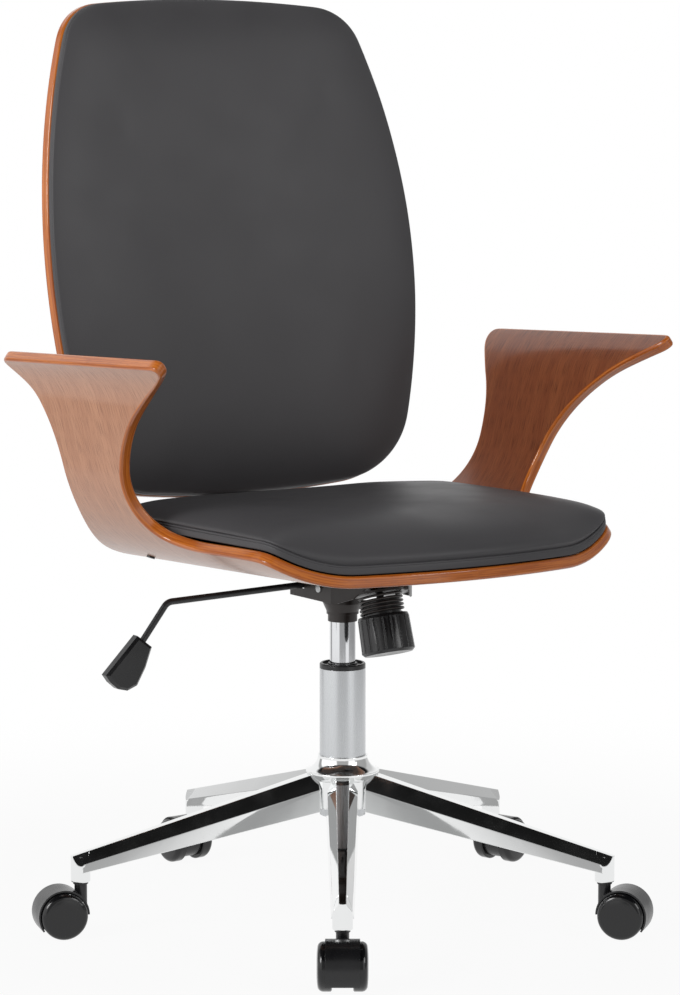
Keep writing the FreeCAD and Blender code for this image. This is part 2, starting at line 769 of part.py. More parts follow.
def make_cradle():
    """Two ears on the housing's floor that carry the lever block's trunnions."""
    near = lever_block_width / 2 + loose_fit
    far = near + cradle_ear_thickness
    floor = housing_bottom_height + housing_sheet
    ear = box_between(Vector(-lever_pivot_inset - cradle_ear_width / 2, near, floor),
                      Vector(-lever_pivot_inset + cradle_ear_width / 2, far, cradle_ear_top_height))
    other = moved(ear, Y_AXIS * -(near + far))
    hole = disc(trunnion_diameter / 2 + running_fit, (far + overrun) * 2,
                Vector(-lever_pivot_inset, -far - overrun, lever_pivot_height), Y_AXIS)
    return ear.fuse(other).cut(hole)


def make_pivot_pin():
    """The pin that the seat tilts on, headed at both ends."""
    half = housing_half_width + soft_gap
    centre = Vector(0, tilt_pivot_depth, tilt_pivot_height)
    pin = disc(pivot_pin_diameter / 2, half * 2, centre - X_AXIS * half, X_AXIS)
    head = disc(pivot_head_diameter / 2, pivot_head_length, centre + X_AXIS * half, X_AXIS)
    return pin.fuse(head).fuse(mirrored_x(head))


# Tension spring, bolt and knob

def biarc(first, first_way, last, last_way):
    """Two round edges that meet smoothly and leave and arrive along given directions."""
    span = last - first
    ways = first_way + last_way
    square = ways.Length ** 2 - 4
    linear = -2 * span.dot(ways)
    steady = span.Length ** 2
    reach = (-linear - math.sqrt(linear ** 2 - 4 * square * steady)) / (2 * square)
    if reach < 0:
        reach = (-linear + math.sqrt(linear ** 2 - 4 * square * steady)) / (2 * square)
    first_corner = first + first_way * reach
    last_corner = last - last_way * reach
    joint = (first_corner + last_corner) * 0.5

    def half(start, corner, end):
        chord = end - start
        turn = (corner - start).getAngle(end - corner)
        middle = (start + end) * 0.5
        lift = (corner - middle).normalize() * (chord.Length / 2 * math.tan(turn / 4))
        return arc(start, middle + lift, end)

    return [half(first, first_corner, joint), half(joint, last_corner, last)]


def coil_point(radius, pitch, turn):
    """A point of a coil about +Z, and the direction that its wire runs there."""
    angle = 2 * math.pi * turn
    point = Vector(radius * math.cos(angle), radius * math.sin(angle), pitch * turn)
    way = Vector(-2 * math.pi * radius * math.sin(angle), 2 * math.pi * radius * math.cos(angle), pitch)
    return point, way.normalize()


def make_tension_spring():
    """The tension spring, one unbroken coiled wire with straight ends."""
    radius = (spring_outer_diameter - spring_wire_diameter) / 2
    pitch = (spring_length - spring_wire_diameter) / spring_turns
    stations = [coil_point(radius, pitch, step / 4) for step in range(spring_turns * 4 + 1)]
    start, start_way = stations[0]
    end, end_way = stations[-1]
    tail = start - start_way * spring_wire_diameter
    nose = end + end_way * spring_wire_diameter
    edges = [Part.makeLine(tail, start)]
    for (first, first_way), (last, last_way) in zip(stations, stations[1:]):
        edges += biarc(first, first_way, last, last_way)
    edges.append(Part.makeLine(end, nose))
    path = Part.Wire(edges)
    section = Part.Wire(Part.makeCircle(spring_wire_diameter / 2, tail, start_way))
    wire = path.makePipeShell([section], True, False)
    least_gap = coil_self_gap(radius, pitch)
    print("tension spring: turns", spring_turns, "pitch", round(pitch, 3), "least gap to itself",
          round(least_gap, 3), "mm")
    rise = spring_base + spring_up * (spring_seat_gap + spring_wire_diameter / 2)
    wire = spun(wire, -spring_lean_angle, ORIGIN, X_AXIS)
    return moved(wire, rise)


def coil_self_gap(radius, pitch):
    """The least distance between the wire's surfaces in turns that lie side by side."""
    samples = 24
    lowest = None
    for step in range(samples * (spring_turns - 1)):
        point, way = coil_point(radius, pitch, step / samples)
        for other in range(step + samples // 2, step + samples + samples // 2):
            if other > samples * spring_turns:
                continue
            gap = (coil_point(radius, pitch, other / samples)[0] - point).Length - spring_wire_diameter
            lowest = gap if lowest is None else min(lowest, gap)
    return lowest


def make_tension_bolt():
    """The bolt that pulls the seat's front down through the spring, with an eye at its top."""
    foot = knob_top - spring_up * bolt_knob_engagement
    length = (eye_centre - foot).Length
    rod = spring_disc(bolt_diameter / 2, length, foot)
    eye = disc(bolt_eye_diameter / 2, bolt_eye_width, eye_centre - X_AXIS * bolt_eye_width / 2, X_AXIS)
    hole = disc(hook_pin_diameter / 2 + seated_fit, bolt_eye_width + overrun * 2,
                eye_centre - X_AXIS * (bolt_eye_width / 2 + overrun), X_AXIS)
    return rod.fuse(eye).cut(hole)


def make_hook_pin():
    """The cross pin that joins the bolt's eye to the saddle under the seat plate."""
    return disc(hook_pin_diameter / 2, hook_pin_length, eye_centre - X_AXIS * hook_pin_length / 2, X_AXIS)


def make_saddle():
    """The saddle welded under the seat plate, with two ears for the cross pin."""
    near = max(bolt_eye_width, bolt_diameter) / 2 + loose_fit
    far = near + saddle_ear_thickness
    plate_underside = seat_underside_height - plate_thickness
    base_floor = plate_underside - saddle_base_thickness
    base = box_between(Vector(-far, eye_centre.y - saddle_half_length, base_floor),
                       Vector(far, eye_centre.y + saddle_half_length, plate_underside))
    base = pitched(base)
    rise = plate_underside - eye_centre.z + saddle_ear_radius
    ear = disc(saddle_ear_radius, saddle_ear_thickness, eye_centre + X_AXIS * near, X_AXIS)
    post = box_between(Vector(near, eye_centre.y - saddle_ear_radius, eye_centre.z),
                       Vector(far, eye_centre.y + saddle_ear_radius, eye_centre.z + rise))
    ears = ear.fuse(post)
    ears = ears.fuse(mirrored_x(ears)).cut(above_plate_underside())
    hole = disc(hook_pin_diameter / 2 + hook_pin_slack, (far + overrun) * 2,
                eye_centre - X_AXIS * (far + overrun), X_AXIS)
    return base.fuse(ears).cut(hole).removeSplitter()


def make_knob():
    """The fluted tension knob, threaded on the bolt from below, with a boss that guides the spring."""
    bevel_height = knob_height - knob_foot_bevel
    body = turned([(0, 0), (knob_lip_diameter / 2, 0), (knob_diameter / 2, -knob_lip_height),
                   (knob_foot_diameter / 2, -bevel_height),
                   (knob_foot_diameter / 2 - knob_foot_bevel, -knob_height), (0, -knob_height)])
    flute_length = knob_height - knob_lip_height - knob_foot_bevel
    lean = math.degrees(math.atan((knob_foot_diameter - knob_diameter) / 2 / knob_height))
    flute = disc(knob_flute_radius, flute_length,
                 Vector(knob_foot_diameter / 2 + knob_flute_sink, 0, -bevel_height))
    flute = spun(flute, -lean, Vector(knob_foot_diameter / 2, 0, -bevel_height), Y_AXIS)
    flutes = [spun(flute, index * 360 / knob_flute_count) for index in range(knob_flute_count)]
    knob = body.cut(Part.makeCompound(flutes))
    boss_height = spring_length + spring_seat_gap * 2 - spring_travel - knob_boss_end_gap
    boss_radius = spring_outer_diameter / 2 - spring_wire_diameter - knob_boss_side_gap
    knob = knob.fuse(disc(boss_radius, boss_height + knob_lip_height, Z_AXIS * -knob_lip_height))
    bore = disc(bolt_diameter / 2 + running_fit, knob_bore_depth + boss_height + overrun,
                Vector(0, 0, -knob_bore_depth))
    knob = spun(knob.cut(bore).removeSplitter(), -spring_lean_angle, ORIGIN, X_AXIS)
    return moved(knob, knob_top)


# Release lever, drawn level along -X and then laid to its droop

def drooped(shape):
    """A lever piece turned about its pivot so that the rod droops outward."""
    return spun(shape, -lever_droop_angle, Vector(-lever_pivot_inset, 0, lever_pivot_height), Y_AXIS)


def make_lever_block():
    """The block that the rod slides in, on two trunnions across the housing."""
    half = Vector(lever_block_length / 2, lever_block_width / 2, lever_block_height / 2)
    centre = Vector(-lever_pivot_inset, 0, lever_pivot_height)
    block = box_between(centre - half, centre + half)
    reach = half.y + trunnion_length
    trunnions = disc(trunnion_diameter / 2, reach * 2, centre - Y_AXIS * reach, Y_AXIS)
    hole = disc(lever_rod_diameter / 2 + running_fit, lever_block_length + overrun * 2,
                centre - X_AXIS * (half.x + overrun), X_AXIS)
    return drooped(block.fuse(trunnions).cut(hole))


def lever_points():
    """The rod's centre line: inner end, bend and handle, before the droop."""
    inner = Vector(lever_tongue_reach, 0, lever_pivot_height)
    bend = Vector(-lever_bend_inset, 0, lever_pivot_height)
    down = math.radians(handle_angle - lever_droop_angle)
    way = Vector(-math.cos(down), 0, -math.sin(down))
    handle_top = Vector(-handle_top_inset, 0, handle_top_height)
    grip = bend + way * ((handle_top - bend).Length + handle_socket_depth)
    return inner, bend, way, grip


def make_lever_rod():
    """The lever's rod: a flat tongue over the valve pin, a long run and a bend to the handle."""
    inner, bend, way, grip = lever_points()
    turn = X_AXIS.negative().getAngle(way)
    tangent = lever_bend_radius * math.tan(turn / 2)
    arc_start = bend + X_AXIS * tangent
    arc_end = bend + way * tangent
    inward = (way - X_AXIS.negative()).normalize()
    depth = lever_bend_radius * (1 / math.cos(turn / 2) - 1)
    path = Part.Wire([Part.makeLine(inner, arc_start), arc(arc_start, bend + inward * depth, arc_end),
                      Part.makeLine(arc_end, grip)])
    section = Part.Wire(Part.makeCircle(lever_rod_diameter / 2, inner, X_AXIS))
    rod = path.makePipeShell([section], True, False)
    half = lever_rod_diameter
    spare = (lever_rod_diameter - lever_tongue_height) / 2
    for way_up in (1, -1):
        low = lever_pivot_height + way_up * (lever_rod_diameter / 2 - spare)
        high = low + way_up * half
        rod = rod.cut(box_between(Vector(lever_tongue_reach - lever_tongue_length, -half, min(low, high)),
                                  Vector(lever_tongue_reach + overrun, half, max(low, high))))
    return drooped(rod)


def make_lever_handle():
    """The paddle handle: a faceted grip that widens from its neck."""
    inner, bend, way, grip = lever_points()
    along = way
    across = Vector(along.z, 0, -along.x)
    top = grip - along * handle_socket_depth

    def spot(length_share, width_share):
        return top + along * (handle_length * length_share) + across * (handle_width * width_share)

    neck = handle_neck_width / handle_width / 2
    outline = [spot(0, -neck)] + [spot(*pair) for pair in handle_share_points] + [spot(0, neck)]
    handle = closed_face(outline).extrude(Y_AXIS * handle_thickness)
    handle = moved(handle, Y_AXIS * -handle_thickness / 2)
    rims = [edge for edge in handle.Edges
            if abs(abs(edge.CenterOfMass.y) - handle_thickness / 2) < running_fit]
    handle = handle.makeChamfer(handle_edge, rims)
    hole = disc(lever_rod_diameter / 2 + seated_fit, handle_socket_depth + overrun + running_fit,
                top - along * overrun, along)
    return drooped(handle.cut(hole))


# Seat frame

def above_plate_underside():
    """The space above the seat plate's underside, to trim what stands under the plate."""
    plate_underside = seat_underside_height - plate_thickness
    reach = plate_half_width - plate_front
    block = box_between(Vector(-reach, -reach, plate_underside),
                        Vector(reach, reach, plate_underside + reach))
    return pitched(block)


def plate_bolt_places():
    """Where the seat plate is bolted to the shell, across and along the seat."""
    return [(side * plate_bolt_half_width, depth)
            for side in (-1, 1) for depth in (plate_bolt_front, plate_bolt_rear)]


def bracket_bolt_places():
    """Where the back bracket is bolted to the shell, across and along the seat."""
    return [(side * bracket_bolt_half_width, depth)
            for side in (-1, 1) for depth in bracket_bolt_depths]


def back_bolt_places():
    """Where the bracket is bolted to the back, across and up the back."""
    return [(side * bracket_bolt_half_width, rise) for side in (-1, 1) for rise in back_bolt_rises]


def make_seat_plate():
    """The seat plate with its two pivot ears inside the housing."""
    underside = seat_underside_height - plate_thickness
    plate = box_between(Vector(-plate_half_width, plate_front, underside),
                        Vector(plate_half_width, plate_rear, seat_underside_height))
    corners = [edge for edge in plate.Edges if abs(edge.tangentAt(edge.FirstParameter).z) > 0.9]
    plate = plate.makeFillet(plate_corner_radius, corners)
    for across, depth in plate_bolt_places():
        plate = plate.cut(disc(screw_diameter / 2 + loose_fit, plate_thickness + overrun * 2,
                               Vector(across, depth, underside - overrun)))
    plate = pitched(plate)
    outer = housing_half_width - housing_sheet - loose_fit
    inner = outer - ear_thickness
    pivot = Vector(inner, tilt_pivot_depth, tilt_pivot_height)
    post = box_between(pivot - Y_AXIS * ear_radius,
                       Vector(outer, tilt_pivot_depth + ear_radius, seat_underside_height + ear_radius))
    ear = disc(ear_radius, ear_thickness, pivot, X_AXIS).fuse(post).cut(above_plate_underside())
    hole = disc(pivot_pin_diameter / 2 + running_fit, (outer + overrun) * 2,
                pivot - X_AXIS * (inner + outer + overrun), X_AXIS)
    return plate.fuse(ear).fuse(mirrored_x(ear)).cut(hole).removeSplitter()


# Seat and arms

def shell_side(offset, end_angle=None):
    """Edges of one side of the bent sheet from its middle outward, at an offset above its mid line."""
    height = shell_mid_height + offset
    corner = Vector(seat_flat_half_width, 0, height)
    bend_centre = Vector(seat_flat_half_width, 0, shell_mid_height + arm_bend_radius)
    bend_radius = arm_bend_radius - offset

    def on_bend(angle):
        way = math.radians(angle - 90)
        return bend_centre + Vector(math.cos(way), 0, math.sin(way)) * bend_radius

    last_bend = arm_bend_angle if end_angle is None else end_angle
    edges = [Part.makeLine(Vector(0, 0, height), corner),
             arc(corner, on_bend(last_bend / 2), on_bend(last_bend))]
    if end_angle is not None:
        return edges, on_bend(last_bend)
    rise = math.radians(arm_bend_angle)
    way = Vector(math.cos(rise), 0, math.sin(rise))
    straight_end = on_bend(arm_bend_angle) + way * arm_straight_length
    edges.append(Part.makeLine(on_bend(arm_bend_angle), straight_end))
    outward = Vector(way.z, 0, -way.x)
    flare_centre = straight_end + outward * (arm_flare_radius + offset)

    def on_flare(angle):
        turn = math.radians(arm_bend_angle + 90 - angle)
        return flare_centre + Vector(math.cos(turn), 0, math.sin(turn)) * (arm_flare_radius + offset)

    tip = on_flare(arm_flare_angle)
    edges.append(arc(straight_end, on_flare(arm_flare_angle / 2), tip))
    return edges, tip


def flipped_x(point):
    """A point on the other side of the chair's middle plane."""
    return Vector(-point.x, point.y, point.z)


def bent_sheet(end_angle, front, rear):
    """The bent sheet from one end to the other, between two depths along the seat."""
    upper, upper_tip = shell_side(shell_thickness / 2, end_angle)
    lower, lower_tip = shell_side(-shell_thickness / 2, end_angle)
    half = upper + lower + [Part.makeLine(upper_tip, lower_tip)]
    other = [mirrored_x(edge) for edge in half]
    outline = Part.Wire(Part.__sortEdges__(half + other))
    sheet = Part.Face(outline).extrude(Y_AXIS * (rear - front))
    return moved(sheet, Y_AXIS * front)


def below_sheet(gap, front, rear):
    """The space from a gap above the bent sheet's upper face down, to trim the cushion."""
    upper, tip = shell_side(shell_thickness / 2 + gap)
    floor = seat_underside_height - shell_thickness
    corner = Vector(tip.x + shell_thickness, 0, tip.z)
    foot = Vector(tip.x + shell_thickness, 0, floor)
    half = upper + [Part.makeLine(tip, corner), Part.makeLine(corner, foot)]
    edges = half + [mirrored_x(edge) for edge in half] + [Part.makeLine(foot, flipped_x(foot))]
    space = Part.Face(Part.Wire(Part.__sortEdges__(edges))).extrude(Y_AXIS * (rear - front))
    return moved(space, Y_AXIS * front)


def arm_side_outline():
    """The arms' outline seen from the side, from the seat's bend up to the arm's top."""
    rise = arm_tip_height - arm_low_height

    def spot(reach, pair):
        return Vector(0, reach * pair[0], arm_low_height + rise * pair[1])

    front = [spot(-arm_front_reach, pair) for pair in arm_front_share_points]
    rear = [spot(arm_rear_reach, pair) for pair in arm_rear_share_points]
    rear_lid = Vector(0, arm_rear_reach, front[-1].z)
    floor = seat_underside_height - shell_thickness
    rear_foot = Vector(0, seat_rear, floor)
    rear_edge = Vector(0, seat_rear, rear[-1].z)
    front_foot = Vector(0, front[0].y, floor)
    edges = [Part.makeLine(front_foot, front[0]), smooth_edge(front), Part.makeLine(front[-1], rear_lid),
             smooth_edge([rear_lid] + rear), Part.makeLine(rear[-1], rear_edge),
             Part.makeLine(rear_edge, rear_foot), Part.makeLine(rear_foot, front_foot)]
    return Part.Face(Part.Wire(edges))


def bowed_front(half_width, front, bow_radius, corner_radius, height):
    """Round edges of a bowed front with rounded corners, from one side to the other."""
    corner = Vector(half_width - corner_radius, 0, height)
    bow_centre = Vector(0, front + bow_radius, height)
    corner.y = bow_centre.y - math.sqrt((bow_radius - corner_radius) ** 2 - corner.x ** 2)
    turn = math.asin(corner.x / (bow_radius - corner_radius))
    start = bow_centre + Vector(math.sin(turn), -math.cos(turn), 0) * bow_radius
    half_turn = (turn + math.pi / 2) / 2
    middle = corner + Vector(math.sin(half_turn), -math.cos(half_turn), 0) * corner_radius
    stop = Vector(half_width, corner.y, height)
    bow = arc(flipped_x(start), Vector(0, front, height), start)
    right = arc(start, middle, stop)
    left = arc(flipped_x(stop), flipped_x(middle), flipped_x(start))
    return [left, bow, right], stop


def seat_plan():
    """The seat's plan from its bowed front back to where the arms start."""
    floor = seat_underside_height - shell_thickness
    edges, stop = bowed_front(seat_front_half_width, seat_front, seat_front_bow_radius,
                              seat_front_corner_radius, floor)
    right = Vector(stop.x, arm_root_front + overrun, floor)
    edges += [Part.makeLine(stop, right), Part.makeLine(right, flipped_x(right)),
              Part.makeLine(flipped_x(right), flipped_x(stop))]
    return Part.Face(Part.Wire(edges)).extrude(Z_AXIS * arm_bend_radius)


def make_seat_shell():
    """The seat and both arms, bent from one sheet of veneered plywood."""
    paddle = bent_sheet(paddle_end_angle, seat_front - overrun, arm_root_front + overrun)
    paddle = paddle.common(seat_plan())
    wings = bent_sheet(None, -arm_front_reach - overrun, seat_rear)
    tip = shell_side(-shell_thickness / 2)[1]
    side_width = tip.x + shell_thickness
    mask = moved(arm_side_outline().extrude(X_AXIS * side_width * 2), X_AXIS * -side_width)
    shell = wings.common(mask).fuse(paddle).removeSplitter()
    for across, depth in plate_bolt_places() + bracket_bolt_places():
        shell = shell.cut(moved(tee_pocket(shell_thickness), Vector(across, depth, seat_underside_height)))
    for screw in cushion_screw_shapes(running_fit):
        shell = shell.cut(screw)
    return pitched(shell)


def tee_pocket(sheet):
    """The hole for a tee nut and its bolt, through a sheet of a given thickness from its underside up."""
    hole = disc(tee_barrel_diameter / 2 + seated_fit, sheet + overrun * 2, Z_AXIS * -overrun)
    recess = disc(tee_flange_diameter / 2 + loose_fit, tee_recess + overrun,
                  Z_AXIS * (sheet - tee_recess))
    return hole.fuse(recess)


# Seat cushion

def cushion_section(height, fall_share):
    """One level of the cushion: bowed front, straight sides and rounded corners."""
    half = cushion_half_width - cushion_side_fall * fall_share
    front = cushion_front + cushion_front_fall * fall_share
    rear = cushion_rear - cushion_rear_fall * fall_share
    corner = cushion_corner_radius
    nip = corner * (1 - math.sqrt(0.5))
    edges, stop = bowed_front(half, front, cushion_front_bow_radius, corner, height)
    rear_start = Vector(half, rear - corner, height)
    rear_bend = Vector(half - nip, rear - nip, height)
    rear_stop = Vector(half - corner, rear, height)
    edges += [Part.makeLine(stop, rear_start), arc(rear_start, rear_bend, rear_stop),
              Part.makeLine(rear_stop, flipped_x(rear_stop)),
              arc(flipped_x(rear_stop), flipped_x(rear_bend), flipped_x(rear_start)),
              Part.makeLine(flipped_x(rear_start), flipped_x(stop))]
    return Part.Wire(edges)


def make_seat_cushion():
    """The seat cushion: crowned, drawn in at its foot and falling away at its front."""
    foot = seat_underside_height + shell_thickness / 2
    rise = cushion_top_height - foot
    sections = [cushion_section(foot + rise * level, share) for level, share in cushion_level_shares]
    pad = Part.makeLoft(sections, True, False)
    pad = pad.cut(below_sheet(soft_gap, seat_front, seat_rear))
    return pitched(pad)


# Back, drawn in its own frame: X across, Z up the back, Y out of its rear

def back_outline(inset, depth):
    """The back's closed outline of eight round edges, at one depth."""
    half = back_half_width - inset
    low = inset
    height = back_height - inset * 2

    def spot(width_share, rise_share):
        return Vector(half * width_share, depth, low + height * rise_share)

    high_corner = spot(back_top_share, 1 - back_top_bow_share)
    side_high = spot(back_side_high_width_share, back_side_high_share)
    side_low = spot(back_side_low_width_share, back_side_low_share)
    low_corner = spot(back_low_share, back_low_bow_share)
    right = [(high_corner, spot(*back_high_corner_shares), side_high),
             (side_high, spot(1, back_side_mid_share), side_low),
             (side_low, spot(*back_low_corner_shares), low_corner)]
    edges = [arc(flipped_x(high_corner), spot(0, 1), high_corner)]
    edges += [arc(*points) for points in right]
    edges.append(arc(low_corner, spot(0, 0), flipped_x(low_corner)))
    edges += [arc(*[flipped_x(point) for point in reversed(points)]) for points in reversed(right)]
    return Part.Wire(edges)


def back_band(inner_offset, outer_offset):
    """A tall curved band, bent round the sitter, between two offsets behind the back's front face."""
    centre = Vector(0, -back_curve_radius, -overrun)
    height = back_height + overrun * 2
    return ring(back_curve_radius + outer_offset, back_curve_radius + inner_offset, height, centre)


def make_back_shell():
    """The plywood back, curved about the sitter."""
    sag = back_curve_radius - math.sqrt(back_curve_radius ** 2 - back_half_width ** 2)
    outline = Part.Face(back_outline(0, -sag - overrun))
    block = outline.extrude(Y_AXIS * (sag + back_thickness + overrun * 2))
    shell = block.common(back_band(0, back_thickness))
    for across, rise in back_bolt_places():
        pocket = spun(tee_pocket(back_thickness), 90, ORIGIN, X_AXIS)
        lead = back_thickness - (back_curve_radius - math.sqrt(back_curve_radius ** 2 - across ** 2))
        shell = shell.cut(moved(pocket, Vector(across, lead, rise)))
    return reclined(shell)


def make_back_cushion():
    """The back cushion: crowned in front and drawn in towards the plywood."""
    sag = back_curve_radius - math.sqrt(back_curve_radius ** 2 - back_half_width ** 2)
    deep = back_cushion_depth
    foot = back_outline(back_cushion_inset + back_half_width * back_cushion_shares[0][1], back_thickness)
    sections = [foot]
    for depth_share, inset_share in back_cushion_shares:
        sections.append(back_outline(back_cushion_inset + back_half_width * inset_share,
                                     -sag / 2 - deep * depth_share))
    pad = Part.makeLoft(sections, True, False)
    pad = pad.cut(back_band(-soft_gap, back_thickness + sag))
    return reclined(pad)


# Back bracket and fasteners

def make_back_bracket():
    """The flat steel bracket from under the seat up behind the back."""
    recline = math.radians(back_recline_angle)
    pitch = math.radians(seat_pitch_angle)
    up = Vector(0, math.sin(recline), math.cos(recline))
    out = Vector(0, math.cos(recline), -math.sin(recline))
    rear = Vector(0, math.cos(pitch), -math.sin(pitch))
    down = Vector(0, -math.sin(pitch), -math.cos(pitch))
    seat_origin = Vector(0, 0, seat_underside_height) + down * (bracket_thickness / 2)
    start = seat_origin + rear * bracket_front
    back_origin = Vector(0, back_bottom_depth, back_bottom_height)
    rail = back_origin + out * (back_thickness + running_fit + bracket_thickness / 2)
    away = seat_origin - rail
    down_run = (away.z * rear.y - away.y * rear.z) / (up.z * rear.y - up.y * rear.z)
    corner = rail + up * down_run
    top = rail + up * bracket_rise
    turn = rear.getAngle(up)
    tangent = bracket_bend_radius * math.tan(turn / 2)
    inward = (up - rear).normalize()
    depth = bracket_bend_radius * (1 / math.cos(turn / 2) - 1)
    path = Part.Wire([Part.makeLine(start, corner - rear * tangent),
                      arc(corner - rear * tangent, corner + inward * depth, corner + up * tangent),
                      Part.makeLine(corner + up * tangent, top)])
    half_width = X_AXIS * (bracket_width / 2)
    half_depth = down * (bracket_thickness / 2)
    section = Part.makePolygon([start - half_width - half_depth, start + half_width - half_depth,
                                start + half_width + half_depth, start - half_width + half_depth,
                                start - half_width - half_depth])
    bracket = path.makePipeShell([section], True, False)
    hole_radius = screw_diameter / 2 + loose_fit
    reach = bracket_thickness + overrun * 2
    for across, place in bracket_bolt_places():
        hole = disc(hole_radius, reach, Vector(across, place, seat_underside_height - reach + overrun))
        bracket = bracket.cut(pitched(hole))
    for across, rise in back_bolt_places():
        hole = disc(hole_radius, reach, Vector(across, back_thickness - overrun, rise), Y_AXIS)
        bracket = bracket.cut(reclined(hole))
    return bracket


def make_bolt(grip):
    """A button-head bolt with its head's upper face at zero and a thread up through a grip."""
    shank = disc(screw_diameter / 2, grip, ORIGIN)
    head = disc(screw_head_diameter / 2, screw_head_height, Z_AXIS * -screw_head_height)
    return shank.fuse(head)


def make_seat_bolts():
    """The bolts of the seat plate and of the bracket's lower leg."""
    bolts = []
    groups = ((plate_bolt_places(), plate_thickness), (bracket_bolt_places(), bracket_thickness))
    for places, sheet in groups:
        for across, depth in places:
            grip = sheet + shell_thickness - tee_recess - screw_end_inset
            base = Vector(across, depth, seat_underside_height - sheet)
            bolts.append(pitched(moved(make_bolt(grip), base)))
    return Part.makeCompound(bolts)


def make_back_bolts():
    """The bolts of the bracket's upper leg."""
    bolts = []
    for across, rise in back_bolt_places():
        grip = bracket_thickness + back_thickness - tee_recess - screw_end_inset
        bolt = spun(make_bolt(grip), 90, ORIGIN, X_AXIS)
        base = Vector(across, back_thickness + running_fit + bracket_thickness, rise)
        bolts.append(reclined(moved(bolt, base)))
    return Part.makeCompound(bolts)


def make_tee_nut():
    """A tee nut with its flange's lower face at zero and its barrel below."""
    bore = screw_diameter / 2 + seated_fit
    flange = ring(tee_flange_diameter / 2, bore, tee_flange_thickness)
    barrel = ring(tee_barrel_diameter / 2, bore, tee_barrel_length, Z_AXIS * -tee_barrel_length)
    return flange.fuse(barrel).removeSplitter()


def make_tee_nuts():
    """The tee nuts let into the plywood of the seat and of the back."""
    nuts = []
    for across, depth in plate_bolt_places() + bracket_bolt_places():
        base = Vector(across, depth, shell_top_height - tee_recess)
        nuts.append(pitched(moved(make_tee_nut(), base)))
    for across, rise in back_bolt_places():
        sag = back_curve_radius - math.sqrt(back_curve_radius ** 2 - across ** 2)
        lead = tee_recess - sag
        nut = spun(make_tee_nut(), 90, ORIGIN, X_AXIS)
        nuts.append(reclined(moved(nut, Vector(across, lead, rise))))
    return Part.makeCompound(nuts)


def cushion_screw_shapes(gap):
    """The four small screws that hold the cushion's board from under the shell's bend."""
    radius = arm_bend_radius + shell_thickness / 2
    centre = Vector(seat_flat_half_width, 0, shell_mid_height + arm_bend_radius)
    screws = []
    for depth, angle in ((cushion_screw_front_depth, cushion_screw_front_angle),
                         (cushion_screw_rear_depth, cushion_screw_rear_angle)):
        way = math.radians(angle - 90)
        outward = Vector(math.cos(way), 0, math.sin(way))
        foot = centre + outward * radius + Y_AXIS * depth
        length = shell_thickness - screw_end_inset + gap
        shank = disc(cushion_screw_diameter / 2 + gap, length, foot, outward.negative())
        if gap:
            screw = shank
        else:
            head = disc(cushion_screw_head_diameter / 2, cushion_screw_head_height, foot, outward)
            screw = shank.fuse(head)
        screws += [screw, mirrored_x(screw)]
    return screws


def make_cushion_screws():
    """The cushion screws, at the seat's pitch."""
    return Part.makeCompound([pitched(screw) for screw in cushion_screw_shapes(0)])


def make_nodes():
    """Every piece of the chair under its own name."""
    nodes = {
        "base_hub": make_hub(),
        "column_tube": make_column_tube(),
        "guide_bush": make_guide_bush(),
        "thrust_bearing": make_thrust_bearing(),
        "piston_rod": make_piston_rod(),
        "rod_clip": make_rod_clip(),
        "rod_bumper": make_rod_bumper(),
        "gas_cylinder": make_gas_cylinder(),
        "release_pin": make_release_pin(),
        "taper_sleeve": make_taper_sleeve(),
        "tilt_housing": make_housing(),
        "tilt_pivot_pin": make_pivot_pin(),
        "tension_spring": make_tension_spring(),
        "tension_bolt": make_tension_bolt(),
        "hook_pin": make_hook_pin(),
        "spring_saddle": make_saddle(),
        "tension_knob": make_knob(),
        "lever_block": make_lever_block(),
        "lever_rod": make_lever_rod(),
        "lever_handle": make_lever_handle(),
        "seat_plate": make_seat_plate(),
        "seat_shell": make_seat_shell(),
        "seat_cushion": make_seat_cushion(),
        "seat_bolts": make_seat_bolts(),
        "cushion_screws": make_cushion_screws(),
        "tee_nuts": make_tee_nuts(),
        "back_bracket": make_back_bracket(),
        "back_bolts": make_back_bolts(),
        "back_shell": make_back_shell(),
        "back_cushion": make_back_cushion(),
    }
    leg = make_leg(make_hub_envelope())
    caster = {"stem": make_stem(), "hood": make_hood(), "axle": make_axle(),
              "wheel_left": make_wheel(1), "wheel_right": make_wheel(-1)}
    for index in range(caster_count):
        nodes[f"base_leg_{index + 1}"] = on_leg(leg, index)
        for piece, shape in caster.items():
            placed = moved(shape, X_AXIS * caster_circle_radius)
            nodes[f"caster_{piece}_{index + 1}"] = on_leg(placed, index)
    return nodes


def main():
    """Write one STEP file for each piece."""
    os.makedirs("parts", exist_ok=True)
    for name, shape in make_nodes().items():
        solids = len(shape.Solids)
        print(f"{name}: solids {solids}, volume {shape.Volume:.0f}, valid {shape.isValid()}")
        shape.exportStep(f"parts/{name}.step")


main()
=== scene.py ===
# Looks of an office chair: padded seat and back on bent, veneered plywood, a gas
# lift with a tilt mechanism, and a chromed five-leg base on twin-wheel casters.
# Lengths are in metres. The sitter faces -Y, and +Z is up.

import json
import logging
import math
from dataclasses import dataclass, field
from enum import Enum

import bpy
import numpy as np
from mathutils import Matrix, Vector, noise

